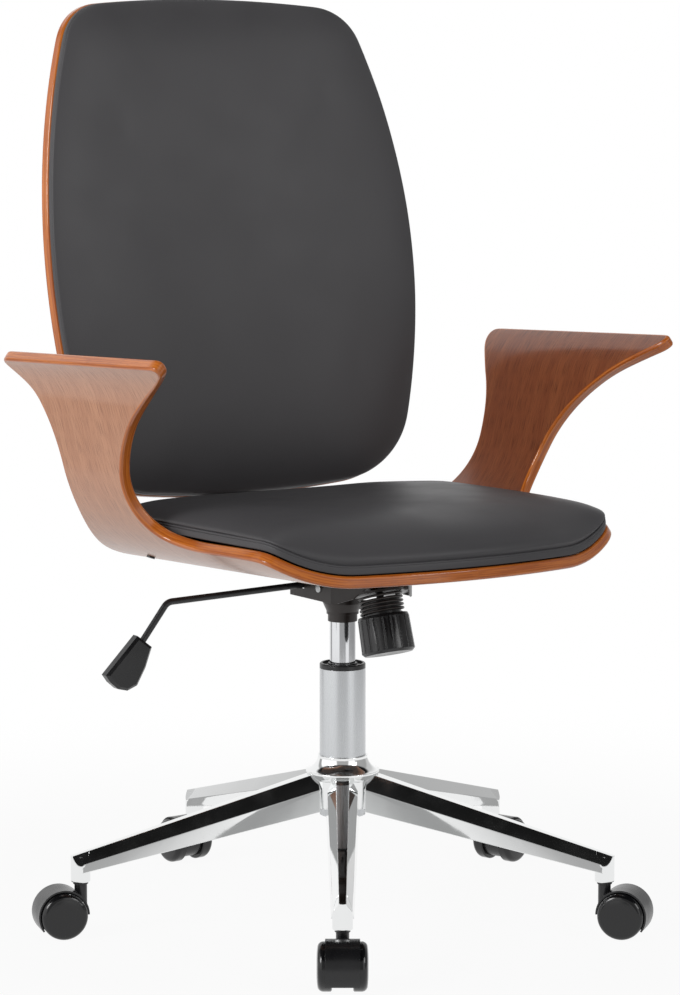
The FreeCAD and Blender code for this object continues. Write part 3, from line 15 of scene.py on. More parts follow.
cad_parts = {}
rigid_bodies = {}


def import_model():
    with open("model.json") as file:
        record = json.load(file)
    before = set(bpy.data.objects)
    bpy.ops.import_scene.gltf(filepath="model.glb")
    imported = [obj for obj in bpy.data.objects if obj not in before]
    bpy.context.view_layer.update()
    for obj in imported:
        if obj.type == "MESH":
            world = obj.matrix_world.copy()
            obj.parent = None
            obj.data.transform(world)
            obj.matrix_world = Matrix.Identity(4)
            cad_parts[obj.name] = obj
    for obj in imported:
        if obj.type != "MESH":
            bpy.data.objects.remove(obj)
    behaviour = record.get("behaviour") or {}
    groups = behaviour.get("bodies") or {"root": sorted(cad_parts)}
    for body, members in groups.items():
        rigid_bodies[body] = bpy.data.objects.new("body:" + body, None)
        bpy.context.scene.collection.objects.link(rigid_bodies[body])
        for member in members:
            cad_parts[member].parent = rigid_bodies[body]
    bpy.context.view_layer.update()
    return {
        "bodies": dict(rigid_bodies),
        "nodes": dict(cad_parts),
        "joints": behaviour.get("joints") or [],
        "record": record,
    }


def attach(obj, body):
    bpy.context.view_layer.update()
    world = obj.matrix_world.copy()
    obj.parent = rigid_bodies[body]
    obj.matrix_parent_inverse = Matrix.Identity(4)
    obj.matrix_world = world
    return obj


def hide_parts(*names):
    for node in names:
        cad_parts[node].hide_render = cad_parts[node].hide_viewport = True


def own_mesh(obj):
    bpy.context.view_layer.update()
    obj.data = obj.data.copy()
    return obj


LOG = logging.getLogger("office_chair")
MM = 0.001
SHEET_MAP = "sheet_map"


def srgb(code: str) -> tuple[float, float, float, float]:
    """Turn an sRGB hex colour into the linear one that the shaders take.

    Args:
        code: Six hex digits, with or without a leading hash.

    Returns:
        Linear red, green, blue and an alpha of one.
    """
    digits = code.lstrip("#")
    channels = [int(digits[start:start + 2], 16) / 255 for start in (0, 2, 4)]
    linear = [value / 12.92 if value <= 0.04045 else ((value + 0.055) / 1.055) ** 2.4 for value in channels]
    return (linear[0], linear[1], linear[2], 1.0)


def add_node(tree: bpy.types.NodeTree, kind: str, settings: dict | None = None,
             sockets: dict | None = None) -> bpy.types.Node:
    """Add a node, with its settings, socket values and incoming links.

    Args:
        tree: The node tree to add to.
        kind: The node's type name.
        settings: Properties of the node.
        sockets: Input sockets by name or index, each with a value or with the output it is linked from.

    Returns:
        The new node.
    """
    node = tree.nodes.new(kind)
    for name, value in (settings or {}).items():
        setattr(node, name, value)
    for name, value in (sockets or {}).items():
        if isinstance(value, bpy.types.NodeSocket):
            tree.links.new(value, node.inputs[name])
        else:
            node.inputs[name].default_value = value
    return node


def new_surface(name: str, sockets: dict) -> tuple[bpy.types.Material, bpy.types.NodeTree, bpy.types.Node]:
    """Start a material with its shader joined to its output.

    Args:
        name: The material's name.
        sockets: Constant values of the shader's own sockets.

    Returns:
        The material, its node tree and its shader.
    """
    material = bpy.data.materials.new(name)
    material.use_nodes = True
    tree = material.node_tree
    tree.nodes.clear()
    shader = add_node(tree, "ShaderNodeBsdfPrincipled", sockets=sockets)
    add_node(tree, "ShaderNodeOutputMaterial", sockets={"Surface": shader.outputs["BSDF"]})
    return material, tree, shader


def add_noise(tree: bpy.types.NodeTree, place: bpy.types.NodeSocket, pitch: float, detail: float,
              roughness: float = 0.5) -> bpy.types.NodeSocket:
    """Add a noise of a pitch in metres and give its value."""
    return add_node(tree, "ShaderNodeTexNoise", sockets={
        "Vector": place, "Scale": 1 / pitch, "Detail": detail, "Roughness": roughness}).outputs["Fac"]


def add_stretch(tree: bpy.types.NodeTree, place: bpy.types.NodeSocket,
                pitches: tuple[float, float, float]) -> bpy.types.NodeSocket:
    """Scale a place by a pitch in metres along each axis and give the result."""
    return add_node(tree, "ShaderNodeMapping", sockets={
        "Vector": place, "Scale": tuple(1 / pitch for pitch in pitches)}).outputs["Vector"]


def add_range(tree: bpy.types.NodeTree, value: bpy.types.NodeSocket, taken: tuple[float, float],
              given: tuple[float, float] = (0.0, 1.0), smooth: bool = False) -> bpy.types.NodeSocket:
    """Map the values taken to the values given and give the result."""
    settings = {"interpolation_type": "SMOOTHSTEP"} if smooth else {}
    return add_node(tree, "ShaderNodeMapRange", settings, {
        "Value": value, "From Min": taken[0], "From Max": taken[1],
        "To Min": given[0], "To Max": given[1]}).outputs["Result"]


def add_blend(tree: bpy.types.NodeTree, share: bpy.types.NodeSocket, first: object,
              second: object) -> bpy.types.NodeSocket:
    """Blend two colours by a share and give the blend."""
    return add_node(tree, "ShaderNodeMix", {"data_type": "RGBA"}, {0: share, 6: first, 7: second}).outputs[2]


def add_math(tree: bpy.types.NodeTree, operation: str, *values: object) -> bpy.types.NodeSocket:
    """Reckon with values and give the result."""
    return add_node(tree, "ShaderNodeMath", {"operation": operation}, dict(enumerate(values))).outputs["Value"]


def add_relief(tree: bpy.types.NodeTree, shader: bpy.types.Node, height: bpy.types.NodeSocket, depth: float,
               strength: float = 1.0, invert: bool = False, edge_round: float = 0.0,
               edge_samples: int = 4) -> None:
    """Give a shader a relief, and rounded edges where a radius is named.

    Args:
        tree: The shader's node tree.
        shader: The shader.
        height: The relief.
        depth: How deep it is, in metres.
        strength: Its share.
        invert: Whether high values lie deep.
        edge_round: The edges' radius.
        edge_samples: How finely the edges are sampled.
    """
    sockets = {"Height": height, "Strength": strength, "Distance": depth}
    if edge_round:
        edge = add_node(tree, "ShaderNodeBevel", {"samples": edge_samples}, {"Radius": edge_round})
        sockets["Normal"] = edge.outputs["Normal"]
    bump = add_node(tree, "ShaderNodeBump", {"invert": invert}, sockets)
    tree.links.new(bump.outputs["Normal"], shader.inputs["Normal"])


# Finishes

@dataclass(frozen=True)
class ChromePlate:
    """Decorative chrome on pressed and polished steel: a mirror, a little wavy where the steel was formed."""

    name: str = "chrome_plate_on_pressed_steel"
    tint: str = "#eceded"
    roughness: tuple = (0.03, 0.09)
    smear: float = 30 * MM
    wave_length: float = 45 * MM
    wave_depth: float = 0.05 * MM
    edge_round: float = 0.9 * MM

    def material(self) -> bpy.types.Material:
        """Build the material."""
        made, tree, shader = new_surface(self.name, {"Base Color": srgb(self.tint), "Metallic": 1.0})
        place = add_node(tree, "ShaderNodeTexCoord").outputs["Object"]
        smear = add_noise(tree, place, self.smear, 4.0)
        gloss = add_range(tree, smear, (0.4, 0.75), self.roughness)
        tree.links.new(gloss, shader.inputs["Roughness"])
        wave = add_noise(tree, place, self.wave_length, 0.5)
        add_relief(tree, shader, wave, self.wave_depth, edge_round=self.edge_round, edge_samples=6)
        return made


@dataclass(frozen=True)
class DrawnMetal:
    """Plated or ground steel with a fine grain along its length, which spreads its highlights into soft bands."""

    name: str
    tint: str
    roughness: tuple
    grain_width: float = 0.9 * MM
    grain_length: float = 60 * MM
    grain_depth: float = 0.006 * MM
    edge_round: float = 0.4 * MM

    def material(self) -> bpy.types.Material:
        """Build the material."""
        made, tree, shader = new_surface(self.name, {"Base Color": srgb(self.tint), "Metallic": 1.0})
        place = add_node(tree, "ShaderNodeTexCoord").outputs["Object"]
        along = add_stretch(tree, place, (self.grain_width, self.grain_width, self.grain_length))
        grain = add_noise(tree, along, 1.0, 3.0)
        gloss = add_range(tree, grain, (0.3, 0.7), self.roughness)
        tree.links.new(gloss, shader.inputs["Roughness"])
        add_relief(tree, shader, grain, self.grain_depth, edge_round=self.edge_round)
        return made


@dataclass(frozen=True)
class DarkCoat:
    """A dark coat with a fine texture of its own: baked powder on steel, black oxide, moulded nylon or rubber."""

    name: str
    tint: str
    light_tint: str
    roughness: tuple
    texture_pitch: float
    texture_depth: float
    cloud: float = 22 * MM
    specular: float = 0.5
    edge_round: float = 0.6 * MM

    def material(self) -> bpy.types.Material:
        """Build the material."""
        made, tree, shader = new_surface(self.name, {"IOR": 1.5, "Specular IOR Level": self.specular})
        place = add_node(tree, "ShaderNodeTexCoord").outputs["Object"]
        cloud = add_noise(tree, place, self.cloud, 3.0)
        tone = add_blend(tree, cloud, srgb(self.tint), srgb(self.light_tint))
        tree.links.new(tone, shader.inputs["Base Color"])
        gloss = add_range(tree, cloud, (0.3, 0.7), self.roughness)
        tree.links.new(gloss, shader.inputs["Roughness"])
        skin = add_noise(tree, place, self.texture_pitch, 2.0)
        add_relief(tree, shader, skin, self.texture_depth, edge_round=self.edge_round)
        return made


@dataclass(frozen=True)
class WalnutVeneer:
    """Sliced walnut veneer under clear lacquer: fine pores along the grain on slow bands of colour, with painted
    shade near the sheet's middle where a shade tint is given.
    """

    name: str
    dark: str
    middle: str
    light: str
    coat: float = 0.8
    coat_roughness: float = 0.16
    wander: float = 160 * MM
    drift: float = 9 * MM
    pore_width: float = 0.75 * MM
    pore_length: float = 22 * MM
    band_width: float = 26 * MM
    band_length: float = 520 * MM
    pore_depth: float = 0.02 * MM
    # Painted shade: a dark tint that the face turns to near the sheet's middle, painting the shade under the
    # seat.
    painted_shade_tint: str = ""
    painted_shade_half: float = 115 * MM
    painted_shade_fade: float = 60 * MM

    def material(self) -> bpy.types.Material:
        """Build the material."""
        made, tree, shader = new_surface(self.name, {
            "Roughness": 0.5, "IOR": 1.5, "Specular IOR Level": 0.12, "Coat Weight": self.coat,
            "Coat Roughness": self.coat_roughness, "Coat IOR": 1.5})
        place = add_node(tree, "ShaderNodeUVMap", {"uv_map": SHEET_MAP}).outputs["UV"]
        wander = add_node(tree, "ShaderNodeTexNoise",
                          sockets={"Vector": place, "Scale": 1 / self.wander, "Detail": 1.0})
        drift = add_node(tree, "ShaderNodeVectorMath", {"operation": "SCALE"},
                         {0: wander.outputs["Color"], "Scale": self.drift})
        bent = add_node(tree, "ShaderNodeVectorMath", {"operation": "ADD"},
                        {0: place, 1: drift.outputs["Vector"]}).outputs["Vector"]
        bands = add_noise(tree, add_stretch(tree, bent, (self.band_length, self.band_width, 1.0)), 1.0, 5.0, 0.6)
        pores = add_noise(tree, add_stretch(tree, bent, (self.pore_length, self.pore_width, 1.0)), 1.0, 2.0)
        band_share = add_range(tree, bands, (0.36, 0.66), smooth=True)
        tone = add_blend(tree, band_share, srgb(self.middle), srgb(self.light))
        pore_share = add_range(tree, pores, (0.48, 0.68), (0.0, 0.8), smooth=True)
        colour = add_blend(tree, pore_share, tone, srgb(self.dark))
        # Painted shade: darken the veneer towards the shade tint within a reach of the sheet's middle, which is
        # the seat's underside.
        if self.painted_shade_tint:
            sheet = add_node(tree, "ShaderNodeSeparateXYZ", sockets={0: place})
            reach = add_math(tree, "ABSOLUTE", sheet.outputs["X"])
            shade = add_range(tree, reach, (self.painted_shade_half, self.painted_shade_half + self.painted_shade_fade),
                              (0.9, 0.0), smooth=True)
            colour = add_blend(tree, shade, colour, srgb(self.painted_shade_tint))
        tree.links.new(colour, shader.inputs["Base Color"])
        add_relief(tree, shader, pore_share, self.pore_depth, strength=0.6, invert=True)
        return made


@dataclass(frozen=True)
class LacqueredEdge:
    """The rounded plywood edge, stained orange-brown and lacquered to a high gloss, with faint layers."""

    name: str = "lacquered_plywood_edge"
    stain: str = "#a65213"
    dark_stain: str = "#7d3810"
    light_stain: str = "#c66f25"
    layer_length: float = 90 * MM
    layer_height: float = 2.1 * MM
    layer_depth: float = 0.03 * MM
    streak_length: float = 14 * MM
    streak_height: float = 0.8 * MM

    def material(self) -> bpy.types.Material:
        """Build the material."""
        made, tree, shader = new_surface(self.name, {
            "Roughness": 0.4, "IOR": 1.5, "Specular IOR Level": 0.12, "Coat Weight": 0.8, "Coat Roughness": 0.06,
            "Coat IOR": 1.55})
        place = add_node(tree, "ShaderNodeUVMap", {"uv_map": SHEET_MAP}).outputs["UV"]
        layer_way = add_stretch(tree, place, (self.layer_length, self.layer_height, 1.0))
        layers = add_noise(tree, layer_way, 1.0, 2.0)
        streak_way = add_stretch(tree, place, (self.streak_length, self.streak_height, 1.0))
        streaks = add_noise(tree, streak_way, 1.0, 2.0)
        layer_share = add_range(tree, layers, (0.35, 0.65), smooth=True)
        tone = add_blend(tree, layer_share, srgb(self.stain), srgb(self.light_stain))
        streak_share = add_range(tree, streaks, (0.52, 0.75), (0.0, 0.5), smooth=True)
        tree.links.new(add_blend(tree, streak_share, tone, srgb(self.dark_stain)), shader.inputs["Base Color"])
        add_relief(tree, shader, layers, self.layer_depth, strength=0.5)
        return made


@dataclass(frozen=True)
class CoatedFabric:
    """Polyurethane-coated fabric, embossed like calf leather: a satin skin with a fine pebble."""

    name: str = "coated_fabric_leather_grain"
    tint: str = "#484749"
    light_tint: str = "#4c4b4d"
    cloud: float = 70 * MM
    pebble: float = 1.5 * MM
    pebble_depth: float = 0.07 * MM
    crease: float = 0.7 * MM
    crease_share: float = 0.35

    def material(self) -> bpy.types.Material:
        """Build the material."""
        made, tree, shader = new_surface(self.name, {"IOR": 1.5, "Specular IOR Level": 0.25})
        place = add_node(tree, "ShaderNodeTexCoord").outputs["Object"]
        cloud = add_noise(tree, place, self.cloud, 4.0)
        tone = add_blend(tree, cloud, srgb(self.tint), srgb(self.light_tint))
        tree.links.new(tone, shader.inputs["Base Color"])
        pebbles = add_node(tree, "ShaderNodeTexVoronoi", {"feature": "SMOOTH_F1"}, {
            "Vector": place, "Scale": 1 / self.pebble, "Smoothness": 0.6})
        creases = add_noise(tree, place, self.crease, 2.0)
        relief = add_math(tree, "MULTIPLY_ADD", creases, self.crease_share, pebbles.outputs["Distance"])
        tree.links.new(add_range(tree, cloud, (0.3, 0.7), (0.4, 0.5)), shader.inputs["Roughness"])
        add_relief(tree, shader, relief, self.pebble_depth, strength=0.7, invert=True)
        return made


class Finish(Enum):
    """Every finish on the chair, by the record's slot or by where it shows."""

    CHROME_BASE = ChromePlate()
    SATIN_COLUMN = DrawnMetal("satin_nickel_on_tube", "#c6c8ca", (0.24, 0.34))
    POLISHED_ROD = DrawnMetal("ground_and_polished_steel", "#cfd0d2", (0.07, 0.14), grain_depth=0.002 * MM)
    PLAIN_STEEL = DrawnMetal("zinc_plate_on_steel", "#d3d5d6", (0.16, 0.3), grain_length=8 * MM)
    DARK_MECHANISM = DarkCoat("baked_powder_coat", "#1d1614", "#2b211d", (0.28, 0.42), 0.9 * MM, 0.02 * MM)
    BLACK_SCREWS = DarkCoat("black_oxide_on_steel", "#17171a", "#202022", (0.3, 0.4), 1.2 * MM, 0.01 * MM)
    BLACK_PLASTIC = DarkCoat("moulded_nylon", "#111113", "#19191b", (0.22, 0.34), 1.0 * MM, 0.015 * MM)
    CASTER_TREAD = DarkCoat("moulded_wheel_nylon", "#0d0d0f", "#131315", (0.12, 0.2), 1.4 * MM, 0.006 * MM)
    BLACK_RUBBER = DarkCoat("moulded_rubber", "#141414", "#1c1c1c", (0.6, 0.75), 0.8 * MM, 0.03 * MM)
    # One walnut veneer in two copies: the outer faces take a paler, pinker copy that is painted light, the white
    # sheen and brighter light on them; the inner faces take the darker one.
    INNER_VENEER = WalnutVeneer("walnut_veneer_inner_face", "#48200e", "#7f4224", "#8c4e2c")
    OUTER_VENEER = WalnutVeneer("walnut_veneer_outer_face_painted_light", "#8a573c", "#b67d5b", "#c08865", coat_roughness=0.22)
    # The seat's outer face, with painted shade darkening its underside.
    SEAT_OUTER_VENEER_PAINTED_SHADE = WalnutVeneer("walnut_veneer_outer_face_painted_underside_shade", "#8a573c", "#b67d5b", "#c08865",
                                     coat_roughness=0.22, painted_shade_tint="#17100c")
    PLY_EDGE = LacqueredEdge()
    UPHOLSTERY = CoatedFabric()


class Wardrobe:
    """Builds each finish once and hands it out."""

    def __init__(self) -> None:
        """Start with nothing built."""
        self._made: dict[Finish, bpy.types.Material] = {}

    def get(self, finish: Finish) -> bpy.types.Material:
        """Give a finish's material, built at its first use."""
        if finish not in self._made:
            self._made[finish] = finish.value.material()
        return self._made[finish]


# Shapes

def smooth_run(points: list[Vector], step: float) -> list[Vector]:
    """Run a smooth curve through points.

    Args:
        points: The points that the curve passes through.
        step: The rough distance between the samples.

    Returns:
        Samples of the curve, from the first point to the last.
    """
    padded = [points[0] * 2 - points[1]] + points + [points[-1] * 2 - points[-2]]
    samples = []
    for before, start, end, after in zip(padded, padded[1:], padded[2:], padded[3:]):
        knots = [0.0]
        for first, last in ((before, start), (start, end), (end, after)):
            knots.append(knots[-1] + math.sqrt(max((last - first).length, 1e-9)))
        count = max(2, round((end - start).length / step))
        for index in range(count):
            at = knots[1] + (knots[2] - knots[1]) * index / count
            low = [(before * (knots[1] - at) + start * (at - knots[0])) / (knots[1] - knots[0]),
                   (start * (knots[2] - at) + end * (at - knots[1])) / (knots[2] - knots[1]),
                   (end * (knots[3] - at) + after * (at - knots[2])) / (knots[3] - knots[2])]
            mid = [(low[0] * (knots[2] - at) + low[1] * (at - knots[0])) / (knots[2] - knots[0]),
                   (low[1] * (knots[3] - at) + low[2] * (at - knots[1])) / (knots[3] - knots[1])]
            samples.append((mid[0] * (knots[2] - at) + mid[1] * (at - knots[1])) / (knots[2] - knots[1]))
    return samples + [points[-1].copy()]


def even_loop(points: list[Vector], count: int) -> list[Vector]:
    """Spread a number of points evenly round a closed line.

    Args:
        points: The line's corners, without the first one repeated.
        count: How many points to give.

    Returns:
        The points, from the line's first corner on.
    """
    closed = points + [points[0]]
    reach = [0.0]
    for first, last in zip(closed, closed[1:]):
        reach.append(reach[-1] + (last - first).length)
    spread = []
    span = 0
    for index in range(count):
        goal = reach[-1] * index / count
        while reach[span + 1] < goal:
            span += 1
        share = (goal - reach[span]) / max(reach[span + 1] - reach[span], 1e-12)
        spread.append(closed[span].lerp(closed[span + 1], share))
    return spread


def arc_run(first: Vector, middle: Vector, last: Vector, step: float) -> list[Vector]:
    """Run a round arc through three points in a plane.

    Args:
        first: Where the arc starts.
        middle: A point on it.
        last: Where it ends.
        step: The rough distance between the samples.

    Returns:
        Samples of the arc, both ends among them.
    """
    doubled = 2 * (first.x * (middle.y - last.y) + middle.x * (last.y - first.y) + last.x * (first.y - middle.y))
    squares = [point.x ** 2 + point.y ** 2 for point in (first, middle, last)]
    centre = Vector((
        (squares[0] * (middle.y - last.y) + squares[1] * (last.y - first.y) + squares[2] * (first.y - middle.y)),
        (squares[0] * (last.x - middle.x) + squares[1] * (first.x - last.x) + squares[2] * (middle.x - first.x)),
    )) / doubled
    radius = (first - centre).length
    angles = [math.atan2(point.y - centre.y, point.x - centre.x) for point in (first, middle, last)]
    to_middle = (angles[1] - angles[0]) % math.tau
    to_last = (angles[2] - angles[0]) % math.tau
    turn = to_last if to_middle < to_last else to_last - math.tau
    count = max(2, round(abs(turn) * radius / step))
    return [centre + Vector((math.cos(angles[0] + turn * index / count),
                             math.sin(angles[0] + turn * index / count))) * radius
            for index in range(count + 1)]


def bowed_front(front: float, bow_radius: float, half: float, corner_radius: float, corner_steps: int,
                bow_steps: int = 40) -> list[Vector]:
    """Run a bowed front edge from its middle to the side, round its corner.

    Args:
        front: Where its middle is.
        bow_radius: The bow's radius.
        half: How far the side is from the middle.
        corner_radius: The corner's radius.
        corner_steps: How many steps the corner takes.
        bow_steps: How many steps the bow takes.

    Returns:
        The edge's points.
    """
    corner = Vector((half - corner_radius, 0))
    bow = Vector((0, front + bow_radius))
    corner.y = bow.y - math.sqrt((bow_radius - corner_radius) ** 2 - corner.x ** 2)
    turn = math.asin(corner.x / (bow_radius - corner_radius))
    turns = [turn + (math.pi / 2 - turn) * step / corner_steps for step in range(1, corner_steps + 1)]
    edge = [bow + Vector((math.sin(turn * step / bow_steps), -math.cos(turn * step / bow_steps))) * bow_radius
            for step in range(bow_steps + 1)]
    return edge + [corner + Vector((math.sin(angle), -math.cos(angle))) * corner_radius for angle in turns]


def rounded_loop(points: list[Vector], passes: int) -> list[Vector]:
    """Ease the corners of a closed line by moving each point towards its neighbours.

    Args:
        points: Evenly spread points.
        passes: How many times to ease.

    Returns:
        The eased points.
    """
    for _ in range(passes):
        points = [(before + point * 2 + after) / 4
                  for before, point, after in zip(points[-1:] + points[:-1], points, points[1:] + points[:1])]
    return points


def mesh_object(name: str, points: list[Vector], faces: list[tuple[int, ...]],
                materials: list[bpy.types.Material], picks: list[int] | None = None,
                normals: list[Vector] | None = None,
                places: list[list[tuple[float, float]]] | None = None) -> bpy.types.Object:
    """Make a smooth mesh object and link it to the scene.

    Args:
        name: The piece's name.
        points: Its points.
        faces: Point numbers of each face.
        materials: Its finishes.
        picks: Which finish each face takes.
        normals: The surface's own direction at each point, where it is known.
        places: Where each corner of each face lies on the flat sheet, in metres.

    Returns:
        The new object.
    """
    mesh = bpy.data.meshes.new(name)
    mesh.from_pydata([tuple(point) for point in points], [], faces)
    for material in materials:
        mesh.materials.append(material)
    mesh.polygons.foreach_set("use_smooth", [True] * len(faces))
    if picks:
        mesh.polygons.foreach_set("material_index", picks)
    if places:
        layer = mesh.uv_layers.new(name=SHEET_MAP)
        flat = [value for corners in places for corner in corners for value in corner]
        layer.data.foreach_set("uv", flat)
    if normals:
        mesh.normals_split_custom_set_from_vertices([tuple(normal) for normal in normals])
    mesh.update()
    made = bpy.data.objects.new(name, mesh)
    bpy.context.scene.collection.objects.link(made)
    return made


# Bent plywood

@dataclass
class BentSheet:
    """A sheet of plywood, bent along one direction and straight along the other, with rounded edges.

    A spot on the sheet is given by its length round the bend and its length across.
    """

    name: str
    node: str
    thickness: float
    edge_round: float = 3.2 * MM
    edge_steps: int = 4
    rim_step: float = 3.5 * MM
    # The outer face takes the paler veneer copy, which is painted light.
    outer_finish: Finish = Finish.OUTER_VENEER

    def place(self, along: float, across: float, height: float) -> Vector:
        """Give the point at a spot on the sheet, at a height above its middle."""
        raise NotImplementedError

    def facing(self, along: float) -> Vector:
        """Give the direction that the sheet's inner face looks in."""
        raise NotImplementedError

    def heading(self, along: float) -> Vector:
        """Give the direction round the bend."""
        raise NotImplementedError

    def crossing(self) -> Vector:
        """Give the direction across the sheet."""
        raise NotImplementedError

    def rim(self) -> list[Vector]:
        """Give the sheet's closed outline, anticlockwise seen from its inner face."""
        raise NotImplementedError

    def eased(self, rim: list[Vector]) -> list[Vector]:
        """Take the last sharpness off the evenly spread outline."""
        return rounded_loop(rim, 2)

    def profile(self) -> list[tuple[float, float, float]]:
        """Give the edge's section.

        Returns:
            Inset, height and the angle of the surface from the inner face round to the outer one.
        """
        half = self.thickness / 2
        quarter = [math.pi / 2 * step / self.edge_steps for step in range(self.edge_steps + 1)]
        upper = [(self.edge_round * (1 - math.sin(turn)), half - self.edge_round * (1 - math.cos(turn)), turn)
                 for turn in quarter]
        lower = [(inset, -height, math.pi - turn) for inset, height, turn in reversed(upper)]
        return upper + lower

    def cap(self, ring: list[int], spots: list[Vector]) -> list[tuple[int, int, int]]:
        """Fill a face of the sheet with narrow triangles that run straight across the bend.

        Args:
            ring: Point numbers round the face, anticlockwise.
            spots: Their spots on the sheet.

        Returns:
            The triangles.
        """
        count = len(ring)
        left = min(range(count), key=lambda index: (spots[index].x, spots[index].y))
        right = max(range(count), key=lambda index: (spots[index].x, spots[index].y))
        front = [(left + step) % count for step in range((right - left) % count + 1)]
        back = [(left - step) % count for step in range((left - right) % count + 1)]
        triangles = []
        low, high = 0, 0
        while low < len(front) - 1 or high < len(back) - 1:
            take_front = high == len(back) - 1 or (
                low < len(front) - 1 and spots[front[low + 1]].x <= spots[back[high + 1]].x)
            if take_front:
                corners = (front[low], front[low + 1], back[high])
                low += 1
            else:
                corners = (front[low], back[high + 1], back[high])
                high += 1
            if len(set(corners)) == 3:
                triangles.append(tuple(ring[corner] for corner in corners))
        return triangles

    def build(self, wardrobe: Wardrobe) -> bpy.types.Object:
        """Build the sheet with its veneers and its lacquered edge."""
        outline = self.rim()
        length = sum((last - first).length for first, last in zip(outline, outline[1:] + outline[:1]))
        rim = self.eased(even_loop(outline, round(length / self.rim_step)))
        count = len(rim)
        outward = []
        for before, after in zip(rim[-1:] + rim[:-1], rim[1:] + rim[:1]):
            way = (after - before).normalized()
            outward.append(Vector((way.y, -way.x)))
        points, normals, spots, rings, spans = [], [], [], [], []
        travelled = 0.0
        last_spot = (0.0, 0.0)
        for inset, height, turn in self.profile():
            travelled += math.dist(last_spot, (inset, height)) if rings else 0.0
            last_spot = (inset, height)
            ring = []
            for spot, out in zip(rim, outward):
                spot = spot - out * inset
                facing = self.facing(spot.x)
                edge_way = self.heading(spot.x) * out.x + self.crossing() * out.y
                ring.append(len(points))
                points.append(self.place(spot.x, spot.y, height))
                normals.append((facing * math.cos(turn) + edge_way * math.sin(turn)).normalized())
                spots.append(spot)
            rings.append(ring)
            spans.append(travelled)
        faces, picks, places = [], [], []
        step = length / count
        for upper, lower, upper_span, lower_span in zip(rings, rings[1:], spans, spans[1:]):
            for index in range(count):
                following = (index + 1) % count
                faces.append((upper[index], lower[index], lower[following], upper[following]))
                picks.append(2)
                near, far = index * step, (index + 1) * step
                places.append([(near, upper_span), (near, lower_span), (far, lower_span), (far, upper_span)])
        for ring, pick in ((rings[0], 0), (rings[-1], 1)):
            for corners in self.cap(ring, [spots[number] for number in ring]):
                ordered = corners if pick == 0 else corners[::-1]
                faces.append(ordered)
                picks.append(pick)
                places.append([(spots[number].x, spots[number].y) for number in ordered])
        finishes = [wardrobe.get(Finish.INNER_VENEER), wardrobe.get(self.outer_finish),
                    wardrobe.get(Finish.PLY_EDGE)]
        return mesh_object(self.name, points, faces, finishes, picks, normals, places)

    def dress(self, wardrobe: Wardrobe) -> None:
        """Build the piece, set it on the seat's body and let it stand for its solid."""
        piece = self.build(wardrobe)
        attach(piece, "seat")
        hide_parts(self.node)
        LOG.info("%s: %d points", piece.name, len(piece.data.vertices))


